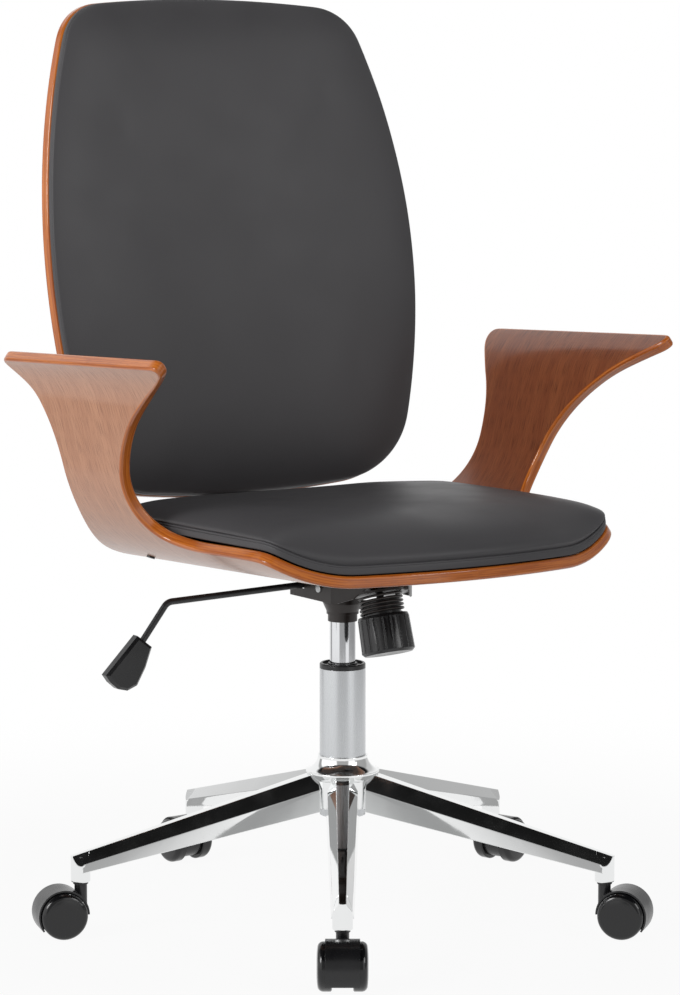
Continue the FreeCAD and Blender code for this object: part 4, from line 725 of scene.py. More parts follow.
@dataclass
class SeatShell(BentSheet):
    """The seat and both arms, bent from one sheet and laid back to the seat's pitch."""

    name: str = "bent_seat_and_arms"
    node: str = "seat_shell"
    thickness: float = 12.5 * MM
    # The outer face's underside carries painted shade.
    outer_finish: Finish = Finish.SEAT_OUTER_VENEER_PAINTED_SHADE
    underside: float = 390.9 * MM
    pitch: float = 2.0
    flat_half: float = 130.0 * MM
    bend_radius: float = 146.5 * MM
    bend_angle: float = 75.0
    straight: float = 71.5 * MM
    flare_radius: float = 84.0 * MM
    flare_angle: float = 40.0
    paddle_angle: float = 37.5
    front: float = -254.0 * MM
    bow_radius: float = 450.0 * MM
    corner_radius: float = 30.0 * MM
    front_half: float = 226.0 * MM
    rear: float = 182.0 * MM
    arm_front: float = -182.0 * MM
    arm_rear: float = 165.0 * MM
    arm_low: float = 430.4 * MM
    arm_tip: float = 627.4 * MM
    tip_corner: float = 14.0 * MM
    firm_from: float = 330.0 * MM
    firm_run: float = 70.0 * MM
    front_shares: tuple = ((0.242, 0.0), (0.115, 0.02), (0.03, 0.09), (0.008, 0.2), (0.035, 0.33),
                           (0.125, 0.47), (0.29, 0.62), (0.55, 0.77), (0.8, 0.875), (0.92, 0.925),
                           (0.975, 0.958), (0.955, 0.99), (0.86, 1.01))
    rear_shares: tuple = ((1.0, 1.01), (0.95, 0.91), (0.83, 0.79), (0.735, 0.63), (0.7, 0.46), (0.715, 0.28),
                          (0.775, 0.13), (0.91, 0.0), (1.103, -0.12))

    def section(self, along: float) -> tuple[float, float, float]:
        """Give the sheet's section at a length from its middle: across, height and slope."""
        run = abs(along)
        middle = self.underside + self.thickness / 2
        bend = math.radians(self.bend_angle)
        if run <= self.flat_half:
            return run, middle, 0.0
        run -= self.flat_half
        if run <= self.bend_radius * bend:
            slope = run / self.bend_radius
            return (self.flat_half + self.bend_radius * math.sin(slope),
                    middle + self.bend_radius * (1 - math.cos(slope)), slope)
        run -= self.bend_radius * bend
        across = self.flat_half + self.bend_radius * math.sin(bend)
        height = middle + self.bend_radius * (1 - math.cos(bend))
        if run <= self.straight:
            return across + run * math.cos(bend), height + run * math.sin(bend), bend
        run -= self.straight
        across += self.straight * math.cos(bend)
        height += self.straight * math.sin(bend)
        slope = bend - run / self.flare_radius
        return (across + self.flare_radius * (math.sin(bend) - math.sin(slope)),
                height + self.flare_radius * (math.cos(slope) - math.cos(bend)), slope)

    def tip(self) -> float:
        """Give the length from the sheet's middle to an arm's tip."""
        return (self.flat_half + self.bend_radius * math.radians(self.bend_angle) + self.straight
                + self.flare_radius * math.radians(self.flare_angle))

    def length_at(self, height: float) -> float:
        """Give the length from the sheet's middle at which its section reaches a height."""
        low, high = self.flat_half, self.tip()
        for _ in range(40):
            middle = (low + high) / 2
            if self.section(middle)[1] < height:
                low = middle
            else:
                high = middle
        return (low + high) / 2

    def laid_back(self, point: Vector) -> Vector:
        """Turn a point of the level seat to the seat's pitch."""
        base = Vector((0, 0, self.underside))
        return self.pitched(point - base) + base

    def pitched(self, way: Vector) -> Vector:
        """Turn a direction of the level seat to the seat's pitch."""
        return Matrix.Rotation(math.radians(-self.pitch), 3, "X") @ way

    def place(self, along: float, across: float, height: float) -> Vector:
        """Give the point at a spot on the sheet, at a height above its middle."""
        side = math.copysign(1, along)
        reach, rise, slope = self.section(along)
        level = Vector((side * (reach - math.sin(slope) * height), across, rise + math.cos(slope) * height))
        return self.laid_back(level)

    def facing(self, along: float) -> Vector:
        """Give the direction that the sheet's inner face looks in."""
        slope = self.section(along)[2]
        level = Vector((-math.copysign(1, along) * math.sin(slope), 0, math.cos(slope)))
        return self.pitched(level)

    def heading(self, along: float) -> Vector:
        """Give the direction round the bend."""
        slope = self.section(along)[2]
        level = Vector((math.cos(slope), 0, math.copysign(1, along) * math.sin(slope)))
        return self.pitched(level)

    def crossing(self) -> Vector:
        """Give the direction across the sheet."""
        return self.pitched(Vector((0, 1, 0)))

    def paddle_rim(self) -> list[Vector]:
        """Give the right half of the bowed front, from its middle to the side."""
        plan = bowed_front(self.front, self.bow_radius, self.front_half, self.corner_radius, 12)
        side = self.flat_half + self.bend_radius * math.sin(math.radians(self.paddle_angle))
        rim = []
        for spot in plan:
            if spot.x > side:
                break
            if spot.x > self.flat_half:
                slope = math.asin((spot.x - self.flat_half) / self.bend_radius)
                rim.append(Vector((self.flat_half + self.bend_radius * slope, spot.y)))
            else:
                rim.append(spot)
        return rim

    def turned_corner(self, edge: list[Vector], way: float) -> list[Vector]:
        """Round the corner at an arm's tip.

        Args:
            edge: The arm's edge, up to its tip.
            way: The side of the edge on which the arm lies, across the sheet.

        Returns:
            The edge with its corner turned along the tip.
        """
        corner = Vector((self.tip(), edge[-1].y))
        kept = [spot for spot in edge if (spot - corner).length > self.tip_corner]
        last = corner + Vector((0, way * self.tip_corner))
        return kept + [kept[-1] * (1 - share) ** 2 + corner * 2 * share * (1 - share) + last * share ** 2
                       for share in (0.15, 0.3, 0.45, 0.6, 0.75, 0.9, 1.0)]

    def rim(self) -> list[Vector]:
        """Give the sheet's closed outline, anticlockwise seen from above."""
        rise = self.arm_tip - self.arm_low
        front_edge = smooth_run([Vector((self.arm_front * share, self.arm_low + rise * high))
                                 for share, high in self.front_shares], 3 * MM)
        rear_edge = smooth_run([Vector((self.arm_rear * share, self.arm_low + rise * high))
                                for share, high in self.rear_shares], 3 * MM)
        tip_height = self.section(self.tip())[1]
        side = self.flat_half + self.bend_radius * math.radians(self.paddle_angle)
        paddle = self.paddle_rim()
        right = paddle + [Vector((side, paddle[-1].y * 0.5 + front_edge[0].x * 0.5)),
                          Vector((side, front_edge[0].x - 14 * MM))]
        fore = [Vector((self.length_at(spot.y), spot.x)) for spot in front_edge if spot.y < tip_height]
        aft = [Vector((self.length_at(spot.y), spot.x)) for spot in rear_edge if spot.y < tip_height]
        right += self.turned_corner(fore, 1.0) + self.turned_corner(aft[::-1], -1.0)[::-1]
        left = [Vector((-spot.x, spot.y)) for spot in reversed(right)]
        return right + left[:-1]

    def eased(self, rim: list[Vector]) -> list[Vector]:
        """Round the seat's corners and the arms' necks well, and the arms' tips a little."""
        soft, firm = rounded_loop(rim, 30), rounded_loop(rim, 3)
        return [near.lerp(far, min(1.0, max(0.0, (abs(near.x) - self.firm_from) / self.firm_run)))
                for near, far in zip(soft, firm)]

    def half_width_at(self, along: float, rim: list[Vector]) -> float:
        """Give how far the sheet reaches to the side at a place from front to rear."""
        reach = [self.section(spot.x)[0] for spot in rim
                 if abs(spot.y - along) < self.rim_step and abs(spot.x) < self.firm_from]
        return max(reach, default=self.front_half)


@dataclass
class BackFrame:
    """Where the back stands: its foot, its recline and the bend of its plywood round the sitter."""

    foot_depth: float = 212.0 * MM
    foot_height: float = 439.7 * MM
    recline: float = 9.2
    curve_radius: float = 812.0 * MM
    half_width: float = 235.6 * MM
    height: float = 565.7 * MM
    low_shares: tuple = (0.56, 0.0118)
    low_corner_shares: tuple = (0.7431, 0.0395)
    side_low_shares: tuple = (0.9046, 0.1355)
    side_middle_shares: tuple = (1.0, 0.41)
    side_high_shares: tuple = (0.818, 0.9126)
    high_corner_shares: tuple = (0.7485, 0.9564)
    high_shares: tuple = (0.605, 0.9842)

    def spot(self, across: float, rise: float, forward: float) -> Vector:
        """Give a point from its place across, up and in front of the back's foot."""
        return self.way(across, rise, forward) + Vector((0, self.foot_depth, self.foot_height))

    def way(self, across: float, rise: float, forward: float) -> Vector:
        """Turn a direction of the upright back to its recline."""
        return Matrix.Rotation(math.radians(-self.recline), 3, "X") @ Vector((across, -forward, rise))

    def outline(self, inset: float) -> list[Vector]:
        """Give the back's outline of eight arcs, anticlockwise seen by the sitter's side.

        Args:
            inset: How far inside the full outline it runs.

        Returns:
            Points across and up, from the middle of the lower edge.
        """
        half = self.half_width - inset
        height = self.height - inset * 2

        def at(width_share: float, rise_share: float) -> Vector:
            return Vector((half * width_share, inset + height * rise_share))

        side_low, side_high = at(*self.side_low_shares), at(*self.side_high_shares)
        low_end, high_end = at(*self.low_shares), at(*self.high_shares)
        right = [(low_end, at(*self.low_corner_shares), side_low),
                 (side_low, at(*self.side_middle_shares), side_high),
                 (side_high, at(*self.high_corner_shares), high_end)]
        low = arc_run(Vector((-low_end.x, low_end.y)), at(0, 0), low_end, 3 * MM)
        top = arc_run(high_end, at(0, 1), Vector((-high_end.x, high_end.y)), 3 * MM)
        half_low = low[len(low) // 2:]
        rising = [spot for points in right for spot in arc_run(*points, 3 * MM)[1:]]
        falling = [Vector((-spot.x, spot.y)) for spot in reversed(rising)]
        return half_low + rising + top[1:] + falling[1:] + low[:len(low) // 2]

    def sag(self, across: float) -> float:
        """Give how far the plywood's front face stands forward at a place across."""
        return self.curve_radius - math.sqrt(self.curve_radius ** 2 - across ** 2)


@dataclass
class BackShell(BentSheet):
    """The plywood back, curved about the sitter."""

    name: str = "bent_back"
    node: str = "back_shell"
    thickness: float = 12.0 * MM
    frame: BackFrame = field(default_factory=BackFrame)

    def angle(self, along: float) -> float:
        """Give the turn round the bend at a length from the middle."""
        return along / (self.frame.curve_radius + self.thickness / 2)

    def place(self, along: float, across: float, height: float) -> Vector:
        """Give the point at a spot on the sheet, at a height above its middle."""
        radius = self.frame.curve_radius + self.thickness / 2 - height
        turn = self.angle(along)
        return self.frame.spot(radius * math.sin(turn), across, self.frame.curve_radius - radius * math.cos(turn))

    def facing(self, along: float) -> Vector:
        """Give the direction that the sheet's front looks in."""
        turn = self.angle(along)
        return self.frame.way(-math.sin(turn), 0, math.cos(turn))

    def heading(self, along: float) -> Vector:
        """Give the direction round the bend."""
        turn = self.angle(along)
        return self.frame.way(math.cos(turn), 0, math.sin(turn))

    def crossing(self) -> Vector:
        """Give the direction up the sheet."""
        return self.frame.way(0, 1, 0)

    def rim(self) -> list[Vector]:
        """Give the sheet's closed outline, anticlockwise seen from its front."""
        middle = self.frame.curve_radius + self.thickness / 2
        return [Vector((middle * math.asin(spot.x / middle), spot.y)) for spot in self.frame.outline(0.0)]


# Cushions

@dataclass
class Cushion:
    """A foam pad in a coated-fabric cover: a rolled border on the plywood, a sewn seam and a stretched panel.

    Each cushion is drawn level, by its place across, along and above its plywood's plane.
    """

    name: str
    node: str
    fill: float
    border_height: float
    seam_depth: float
    side_count: int = 72
    border_shares: tuple = ((-0.03, 0.9), (0.1, 0.1), (0.36, 0.0), (0.66, 0.0), (0.83, 0.3), (0.92, 0.9),
                            (0.975, 2.2))
    fall_shares: tuple = (0.0, 0.0025, 0.006, 0.012, 0.025, 0.05, 0.09, 0.145, 0.22, 0.32, 0.45, 0.62, 0.8,
                          1.0)
    swell_cap: float = 7 * MM
    swell_frames: int = 20
    softness: float = 0.5 * MM
    bulge: float = 1.6 * MM
    bulge_at: float = 0.04
    bulge_reach: float = 0.03
    tuck_share: float = 0.012
    roundness: float = 2.5
    fall_limit: float = 0.6
    border_lift: float = 0.4 * MM
    foot_lift: float = 0.6 * MM
    wave_rate: float = 14.0
    taut_passes: int = 260
    cloth: dict = field(default_factory=lambda: {
        "quality": 6, "mass": 0.25, "tension_stiffness": 18, "compression_stiffness": 18, "shear_stiffness": 8,
        "bending_stiffness": 1.5, "vertex_group_mass": "held", "use_pressure": True,
        "uniform_pressure_force": 4})
    welt_radius: float = 1.5 * MM
    welt_inset: float = 0.5 * MM

    def outline(self) -> list[Vector]:
        """Give the cushion's plan, anticlockwise from its first corner."""
        raise NotImplementedError

    def board(self, across: float, along: float) -> float:
        """Give the plywood's height under a place."""
        raise NotImplementedError

    def crown(self, across: float, along: float) -> float:
        """Give the height of the stretched panel at a place, before it swells."""
        raise NotImplementedError

    def fall(self, way: Vector) -> float:
        """Give how far in from its edge the panel still falls, by the direction from the middle."""
        raise NotImplementedError

    def placed(self, across: float, along: float, height: float) -> Vector:
        """Turn a place on the level cushion into a point on the chair."""
        raise NotImplementedError

    def middle(self) -> Vector:
        """Give the plan's middle."""
        raise NotImplementedError

    def panel_point(self, rim: Vector, share: float) -> Vector:
        """Give a point of the panel.

        Args:
            rim: The outline's point on the way from the middle.
            share: Above zero, the share of the fall; at most zero, the share from the fall's end to the middle.

        Returns:
            The point on the level cushion.
        """
        middle = self.middle()
        way = rim - middle
        reach = way.length
        way.normalize()
        fall = min(self.fall(way), reach * self.fall_limit)
        seam = self.board(rim.x, rim.y) + self.border_height
        if share >= 0:
            seam_share = min(1.0, share / self.tuck_share)
            tuck = self.seam_depth * (1 - seam_share) ** 2
            bulge = self.bulge * math.exp(-((share - self.bulge_at) / self.bulge_reach) ** 2) * seam_share
            spot = middle + way * (reach - tuck + bulge - fall * share)
            rise = (1 - (1 - share) ** self.roundness) ** 0.5
        else:
            spot = middle + way * (reach - fall) * (1 + share)
            rise = 1.0
        top = self.crown(spot.x, spot.y)
        return Vector((spot.x, spot.y, seam + (top - seam) * rise))

    def rings(self) -> tuple[list[Vector], list[tuple[int, ...]], int]:
        """Lay out the cover.

        Returns:
            Points on the level cushion, faces, and how many of the first points belong to the border.
        """
        count = self.side_count * 4
        rim = even_loop(self.outline(), count)
        points, faces = [], []
        middle = self.middle()
        for level, inset in self.border_shares:
            for spot in rim:
                inner = spot - (spot - middle).normalized() * inset * MM
                lift = self.border_lift + self.border_height * level
                points.append(Vector((inner.x, inner.y, self.board(inner.x, inner.y) + lift)))
        border = len(points)
        for share in self.fall_shares:
            for spot in rim:
                points.append(self.panel_point(spot, share))
        ring_count = len(self.border_shares) + len(self.fall_shares)
        for ring in range(ring_count - 1):
            for index in range(count):
                following = (index + 1) % count
                faces.append((ring * count + index, ring * count + following,
                              (ring + 1) * count + following, (ring + 1) * count + index))
        grid: dict[tuple[int, int], int] = {}
        last_ring = (ring_count - 1) * count
        side = self.side_count
        for row in range(side + 1):
            for column in range(side + 1):
                right, up = 2 * column / side - 1, 2 * row / side - 1
                size = max(abs(right), abs(up))
                if size < 1e-9:
                    at = 0.0
                elif up == -size:
                    at = (right / size + 1) / 2 * side
                elif right == size:
                    at = side + (up / size + 1) / 2 * side
                elif up == size:
                    at = side * 2 + (1 - right / size) / 2 * side
                else:
                    at = side * 3 + (1 - up / size) / 2 * side
                if size > 1 - 1e-9:
                    grid[row, column] = last_ring + round(at) % count
                    continue
                low = int(at) % count
                spot = rim[low].lerp(rim[(low + 1) % count], at - int(at))
                grid[row, column] = len(points)
                points.append(self.panel_point(spot, size - 1 - 1e-9))
        for row in range(side):
            for column in range(side):
                faces.append((grid[row, column], grid[row, column + 1], grid[row + 1, column + 1],
                              grid[row + 1, column]))
        foot = len(points)
        points.append(Vector((middle.x, middle.y, self.board(middle.x, middle.y) + self.foot_lift)))
        faces += [((index + 1) % count, index, foot) for index in range(count)]
        return points, faces, border

    def swell(self, cover: bpy.types.Object, border: int, foot: int) -> None:
        """Blow the panel up like the cover over its foam, held along the seam, and keep the result.

        Args:
            cover: The cover's object.
            border: How many of the first points stay where they are.
            foot: The number of the point under the cushion, which stays too.
        """
        rest = [point.co.copy() for point in cover.data.vertices]
        held = cover.vertex_groups.new(name="held")
        count = self.side_count * 4
        held.add(list(range(border + count)) + [foot], 1.0, "REPLACE")
        modifier = cover.modifiers.new("swell", "CLOTH")
        settings = modifier.settings
        for name, value in self.cloth.items():
            setattr(settings, name, value)
        settings.effector_weights.gravity = 0
        scene = bpy.context.scene
        modifier.point_cache.frame_start = 1
        modifier.point_cache.frame_end = self.swell_frames
        for frame in range(1, self.swell_frames + 1):
            scene.frame_set(frame)
        swollen = cover.evaluated_get(bpy.context.evaluated_depsgraph_get())
        moved = [point.co.copy() for point in swollen.data.vertices]
        cover.modifiers.remove(modifier)
        cover.vertex_groups.clear()
        scene.frame_set(1)
        rest_places = np.array(rest)
        shift = np.array(moved) - rest_places
        reach = np.linalg.norm(shift, axis=1, keepdims=True)
        shift *= np.minimum(1.0, self.swell_cap / np.maximum(reach, 1e-9))
        ends = np.empty(len(cover.data.edges) * 2, dtype=np.int64)
        cover.data.edges.foreach_get("vertices", ends)
        first, last = ends[0::2], ends[1::2]
        pull = 1 / np.maximum(np.linalg.norm(rest_places[first] - rest_places[last], axis=1), 0.2 * MM)
        degree = np.bincount(ends, np.repeat(pull, 2), len(shift))[:, None]
        pull = pull[:, None]
        free = np.ones((len(shift), 1))
        free[:border + count] = 0.0
        free[foot] = 0.0
        for _ in range(self.taut_passes):
            around = np.zeros_like(shift)
            np.add.at(around, first, shift[last] * pull)
            np.add.at(around, last, shift[first] * pull)
            shift = (shift + around / degree) / 2 * free
        cover.data.vertices.foreach_set("co", (rest_places + shift).ravel())
        cover.data.update()
        LOG.info("%s: swelled by up to %.1f mm", self.name, np.linalg.norm(shift, axis=1).max() / MM)

    def add_welt(self, rim: list[Vector], wardrobe: Wardrobe) -> None:
        """Sew the thin piping into the seam.

        Args:
            rim: The cushion's plan.
            wardrobe: The finishes.
        """
        middle = self.middle()
        sides = 8
        points, faces = [], []
        for spot in rim:
            out = (spot - middle).normalized()
            centre = spot - out * (self.welt_radius + self.welt_inset)
            height = self.board(spot.x, spot.y) + self.border_height
            for side in range(sides):
                turn = math.tau * side / sides
                reach = centre + out * math.cos(turn) * self.welt_radius
                points.append(self.placed(reach.x, reach.y, height + math.sin(turn) * self.welt_radius))
        count = len(rim)
        for index in range(count):
            following = (index + 1) % count
            for side in range(sides):
                upper = (side + 1) % sides
                faces.append((index * sides + side, following * sides + side,
                              following * sides + upper, index * sides + upper))
        welt = mesh_object(self.name + "_welt", points, faces, [wardrobe.get(Finish.UPHOLSTERY)])
        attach(welt, "seat")

    def dress(self, wardrobe: Wardrobe) -> None:
        """Build the cushion, set it on the seat's body and let it stand for its solid."""
        level, faces, border = self.rings()
        points = []
        for point in level:
            wave = noise.noise(point * self.wave_rate) * self.softness if len(points) >= border else 0.0
            points.append(self.placed(point.x, point.y, point.z + wave))
        cover = mesh_object(self.name, points, faces, [wardrobe.get(Finish.UPHOLSTERY)])
        self.swell(cover, border, len(points) - 1)
        smoother = cover.modifiers.new("smooth", "SUBSURF")
        smoother.levels = 1
        smoother.render_levels = 1
        bpy.context.view_layer.update()
        smooth = bpy.data.meshes.new_from_object(cover.evaluated_get(bpy.context.evaluated_depsgraph_get()))
        cover.modifiers.remove(smoother)
        cover.data = smooth
        smooth.name = self.name
        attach(cover, "seat")
        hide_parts(self.node)
        self.add_welt(even_loop(self.outline(), self.side_count * 4), wardrobe)
        LOG.info("%s: %d points", self.name, len(smooth.vertices))


@dataclass
class SeatCushion(Cushion):
    """The seat's cushion: follows the bowed front and the bends at the sides, and falls away at its front."""

    name: str = "seat_cushion_cover"
    node: str = "seat_cushion"
    fill: float = 0.7
    border_height: float = 9.0 * MM
    seam_depth: float = 3.4 * MM
    shell: SeatShell = field(default_factory=SeatShell)
    half_width: float = 222.0 * MM
    front: float = -252.0 * MM
    rear: float = 168.0 * MM
    bow_radius: float = 448.0 * MM
    front_corner: float = 50.0 * MM
    limited_to: float = -10.0 * MM
    sheet_margin: float = 5.5 * MM
    rear_corner: float = 80.0 * MM
    top: float = 456.0 * MM
    sheet_points: int = 900
    plan_points: int = 600
    plan_passes: int = 5
    side_rise: float = 2.0 * MM
    front_drop: float = 9.0 * MM
    front_fall: float = 105 * MM
    side_fall: float = 70 * MM
    rear_fall: float = 58 * MM

    def outline(self) -> list[Vector]:
        """Give the cushion's plan, anticlockwise from its front left corner."""
        right = bowed_front(self.front, self.bow_radius, self.half_width, self.front_corner, 14)
        rear_centre = Vector((self.half_width - self.rear_corner, self.rear - self.rear_corner))
        right += [rear_centre + Vector((math.cos(math.pi / 2 * step / 16), math.sin(math.pi / 2 * step / 16)))
                  * self.rear_corner for step in range(17)]
        sheet_rim = self.shell.eased(even_loop(self.shell.rim(), self.sheet_points))
        for spot in right:
            if spot.y < self.limited_to:
                spot.x = min(spot.x, self.shell.half_width_at(spot.y, sheet_rim) - self.sheet_margin)
        left = [Vector((-spot.x, spot.y)) for spot in reversed(right)]
        loop = rounded_loop(even_loop(right + left[:-1], self.plan_points), self.plan_passes)
        start = min(range(len(loop)), key=lambda index: loop[index].x * 0.9 + loop[index].y)
        return loop[start:] + loop[:start]

    def board(self, across: float, along: float) -> float:
        """Give the height of the plywood's inner face under a place."""
        inner = self.shell.bend_radius - self.shell.thickness / 2
        floor = self.shell.underside + self.shell.thickness
        over = abs(across) - self.shell.flat_half
        if over <= 0:
            return floor
        return floor + inner - math.sqrt(max(inner ** 2 - over ** 2, 0.0))

    def crown(self, across: float, along: float) -> float:
        """Give the height of the stretched panel at a place, before it swells."""
        side = (abs(across) / self.half_width) ** 2.2
        front = max(0.0, -(along + 0.02) / 0.228) ** 2.2
        return self.top + self.side_rise * side - self.front_drop * front

    def fall(self, way: Vector) -> float:
        """Give how far in from its edge the panel still falls."""
        along = self.front_fall if way.y < 0 else self.rear_fall
        return self.side_fall * way.x ** 2 + along * way.y ** 2

    def placed(self, across: float, along: float, height: float) -> Vector:
        """Lay a point of the level cushion back to the seat's pitch."""
        return self.shell.laid_back(Vector((across, along, height)))

    def middle(self) -> Vector:
        """Give the plan's middle."""
        return Vector((0.0, (self.front + self.rear) / 2))


@dataclass
class BackCushion(Cushion):
    """The back's cushion: a full panel inside the plywood's outline."""

    name: str = "back_cushion_cover"
    node: str = "back_cushion"
    fill: float = 0.7
    border_height: float = 8.0 * MM
    seam_depth: float = 3.4 * MM
    frame: BackFrame = field(default_factory=BackFrame)
    inset: float = 1.5 * MM
    depth: float = 37.0 * MM
    lumbar_depth: float = 3.0 * MM
    lumbar_height: float = 200 * MM
    lumbar_reach: float = 150 * MM
    sag_share: float = 0.3
    side_fall: float = 85 * MM
    end_fall: float = 95 * MM
    middle_share: float = 0.47

    def outline(self) -> list[Vector]:
        """Give the cushion's plan, anticlockwise from its lower left corner."""
        loop = self.frame.outline(self.inset)
        start = min(range(len(loop)), key=lambda index: loop[index].x * 1.1 + loop[index].y)
        return loop[start:] + loop[:start]

    def board(self, across: float, along: float) -> float:
        """Give how far forward the plywood's front face is under a place."""
        return self.frame.sag(across)

    def crown(self, across: float, along: float) -> float:
        """Give how far forward the stretched panel is at a place, before it swells."""
        lumbar = math.exp(-((along - self.lumbar_height) / self.lumbar_reach) ** 2)
        return self.depth + self.frame.sag(across) * self.sag_share + self.lumbar_depth * lumbar

    def fall(self, way: Vector) -> float:
        """Give how far in from its edge the panel still falls."""
        return self.side_fall * way.x ** 2 + self.end_fall * way.y ** 2

    def placed(self, across: float, along: float, height: float) -> Vector:
        """Set a point of the upright cushion in its place on the chair."""
        return self.frame.spot(across, along, height)

    def middle(self) -> Vector:
        """Give the plan's middle."""
        return Vector((0.0, self.frame.height * self.middle_share))


# Rigid pieces that keep their solids

@dataclass
class Hardware:
    """The rigid pieces, each with the finish of its slot."""

    finishes: dict = field(default_factory=lambda: {
        "chrome_base": Finish.CHROME_BASE,
        "satin_column": Finish.SATIN_COLUMN,
        "polished_rod": Finish.POLISHED_ROD,
        "plain_steel": Finish.PLAIN_STEEL,
        "dark_mechanism": Finish.DARK_MECHANISM,
        "black_screws": Finish.BLACK_SCREWS,
        "black_plastic": Finish.BLACK_PLASTIC,
        "caster_tread": Finish.CASTER_TREAD,
        "black_rubber": Finish.BLACK_RUBBER,
        "bent_ply": Finish.INNER_VENEER,
        "upholstery": Finish.UPHOLSTERY,
    })
    blackened: tuple = ("lever_rod", "tension_bolt", "caster_stem_1", "caster_stem_2", "caster_stem_3",
                        "caster_stem_4", "caster_stem_5")

    def dress(self, frame: dict, wardrobe: Wardrobe) -> None:
        """Give every solid its finish.

        Args:
            frame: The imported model, as loaded.
            wardrobe: The finishes.
        """
        slots = {entry["node"]: entry["material_slot"] for entry in frame["record"]["subparts"]}
        for name, piece in frame["nodes"].items():
            finish = self.finishes[slots[name]]
            if name in self.blackened:
                finish = Finish.BLACK_SCREWS
            piece.data.materials.clear()
            piece.data.materials.append(wardrobe.get(finish))
            LOG.info("%s: %s", name, finish.name.lower())


@dataclass
class TensionCoil:
    """The tension spring, which the seat's tilt presses together from below, shown as a rigid copy of its solid.
    """

    name: str = "tension_coil"
    node: str = "tension_spring"
    lean: float = 16.2
    length: float = 23.2 * MM
    travel: float = 6.4 * MM

    def dress(self, frame: dict) -> None:
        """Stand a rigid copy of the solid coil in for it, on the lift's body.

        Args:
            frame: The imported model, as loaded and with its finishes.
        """
        solid = frame["nodes"][self.node]
        coil = bpy.data.objects.new(self.name, solid.data.copy())
        bpy.context.scene.collection.objects.link(coil)
        coil.matrix_world = solid.matrix_world.copy()
        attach(coil, "lift")
        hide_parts(self.node)
        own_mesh(coil)


# The studio

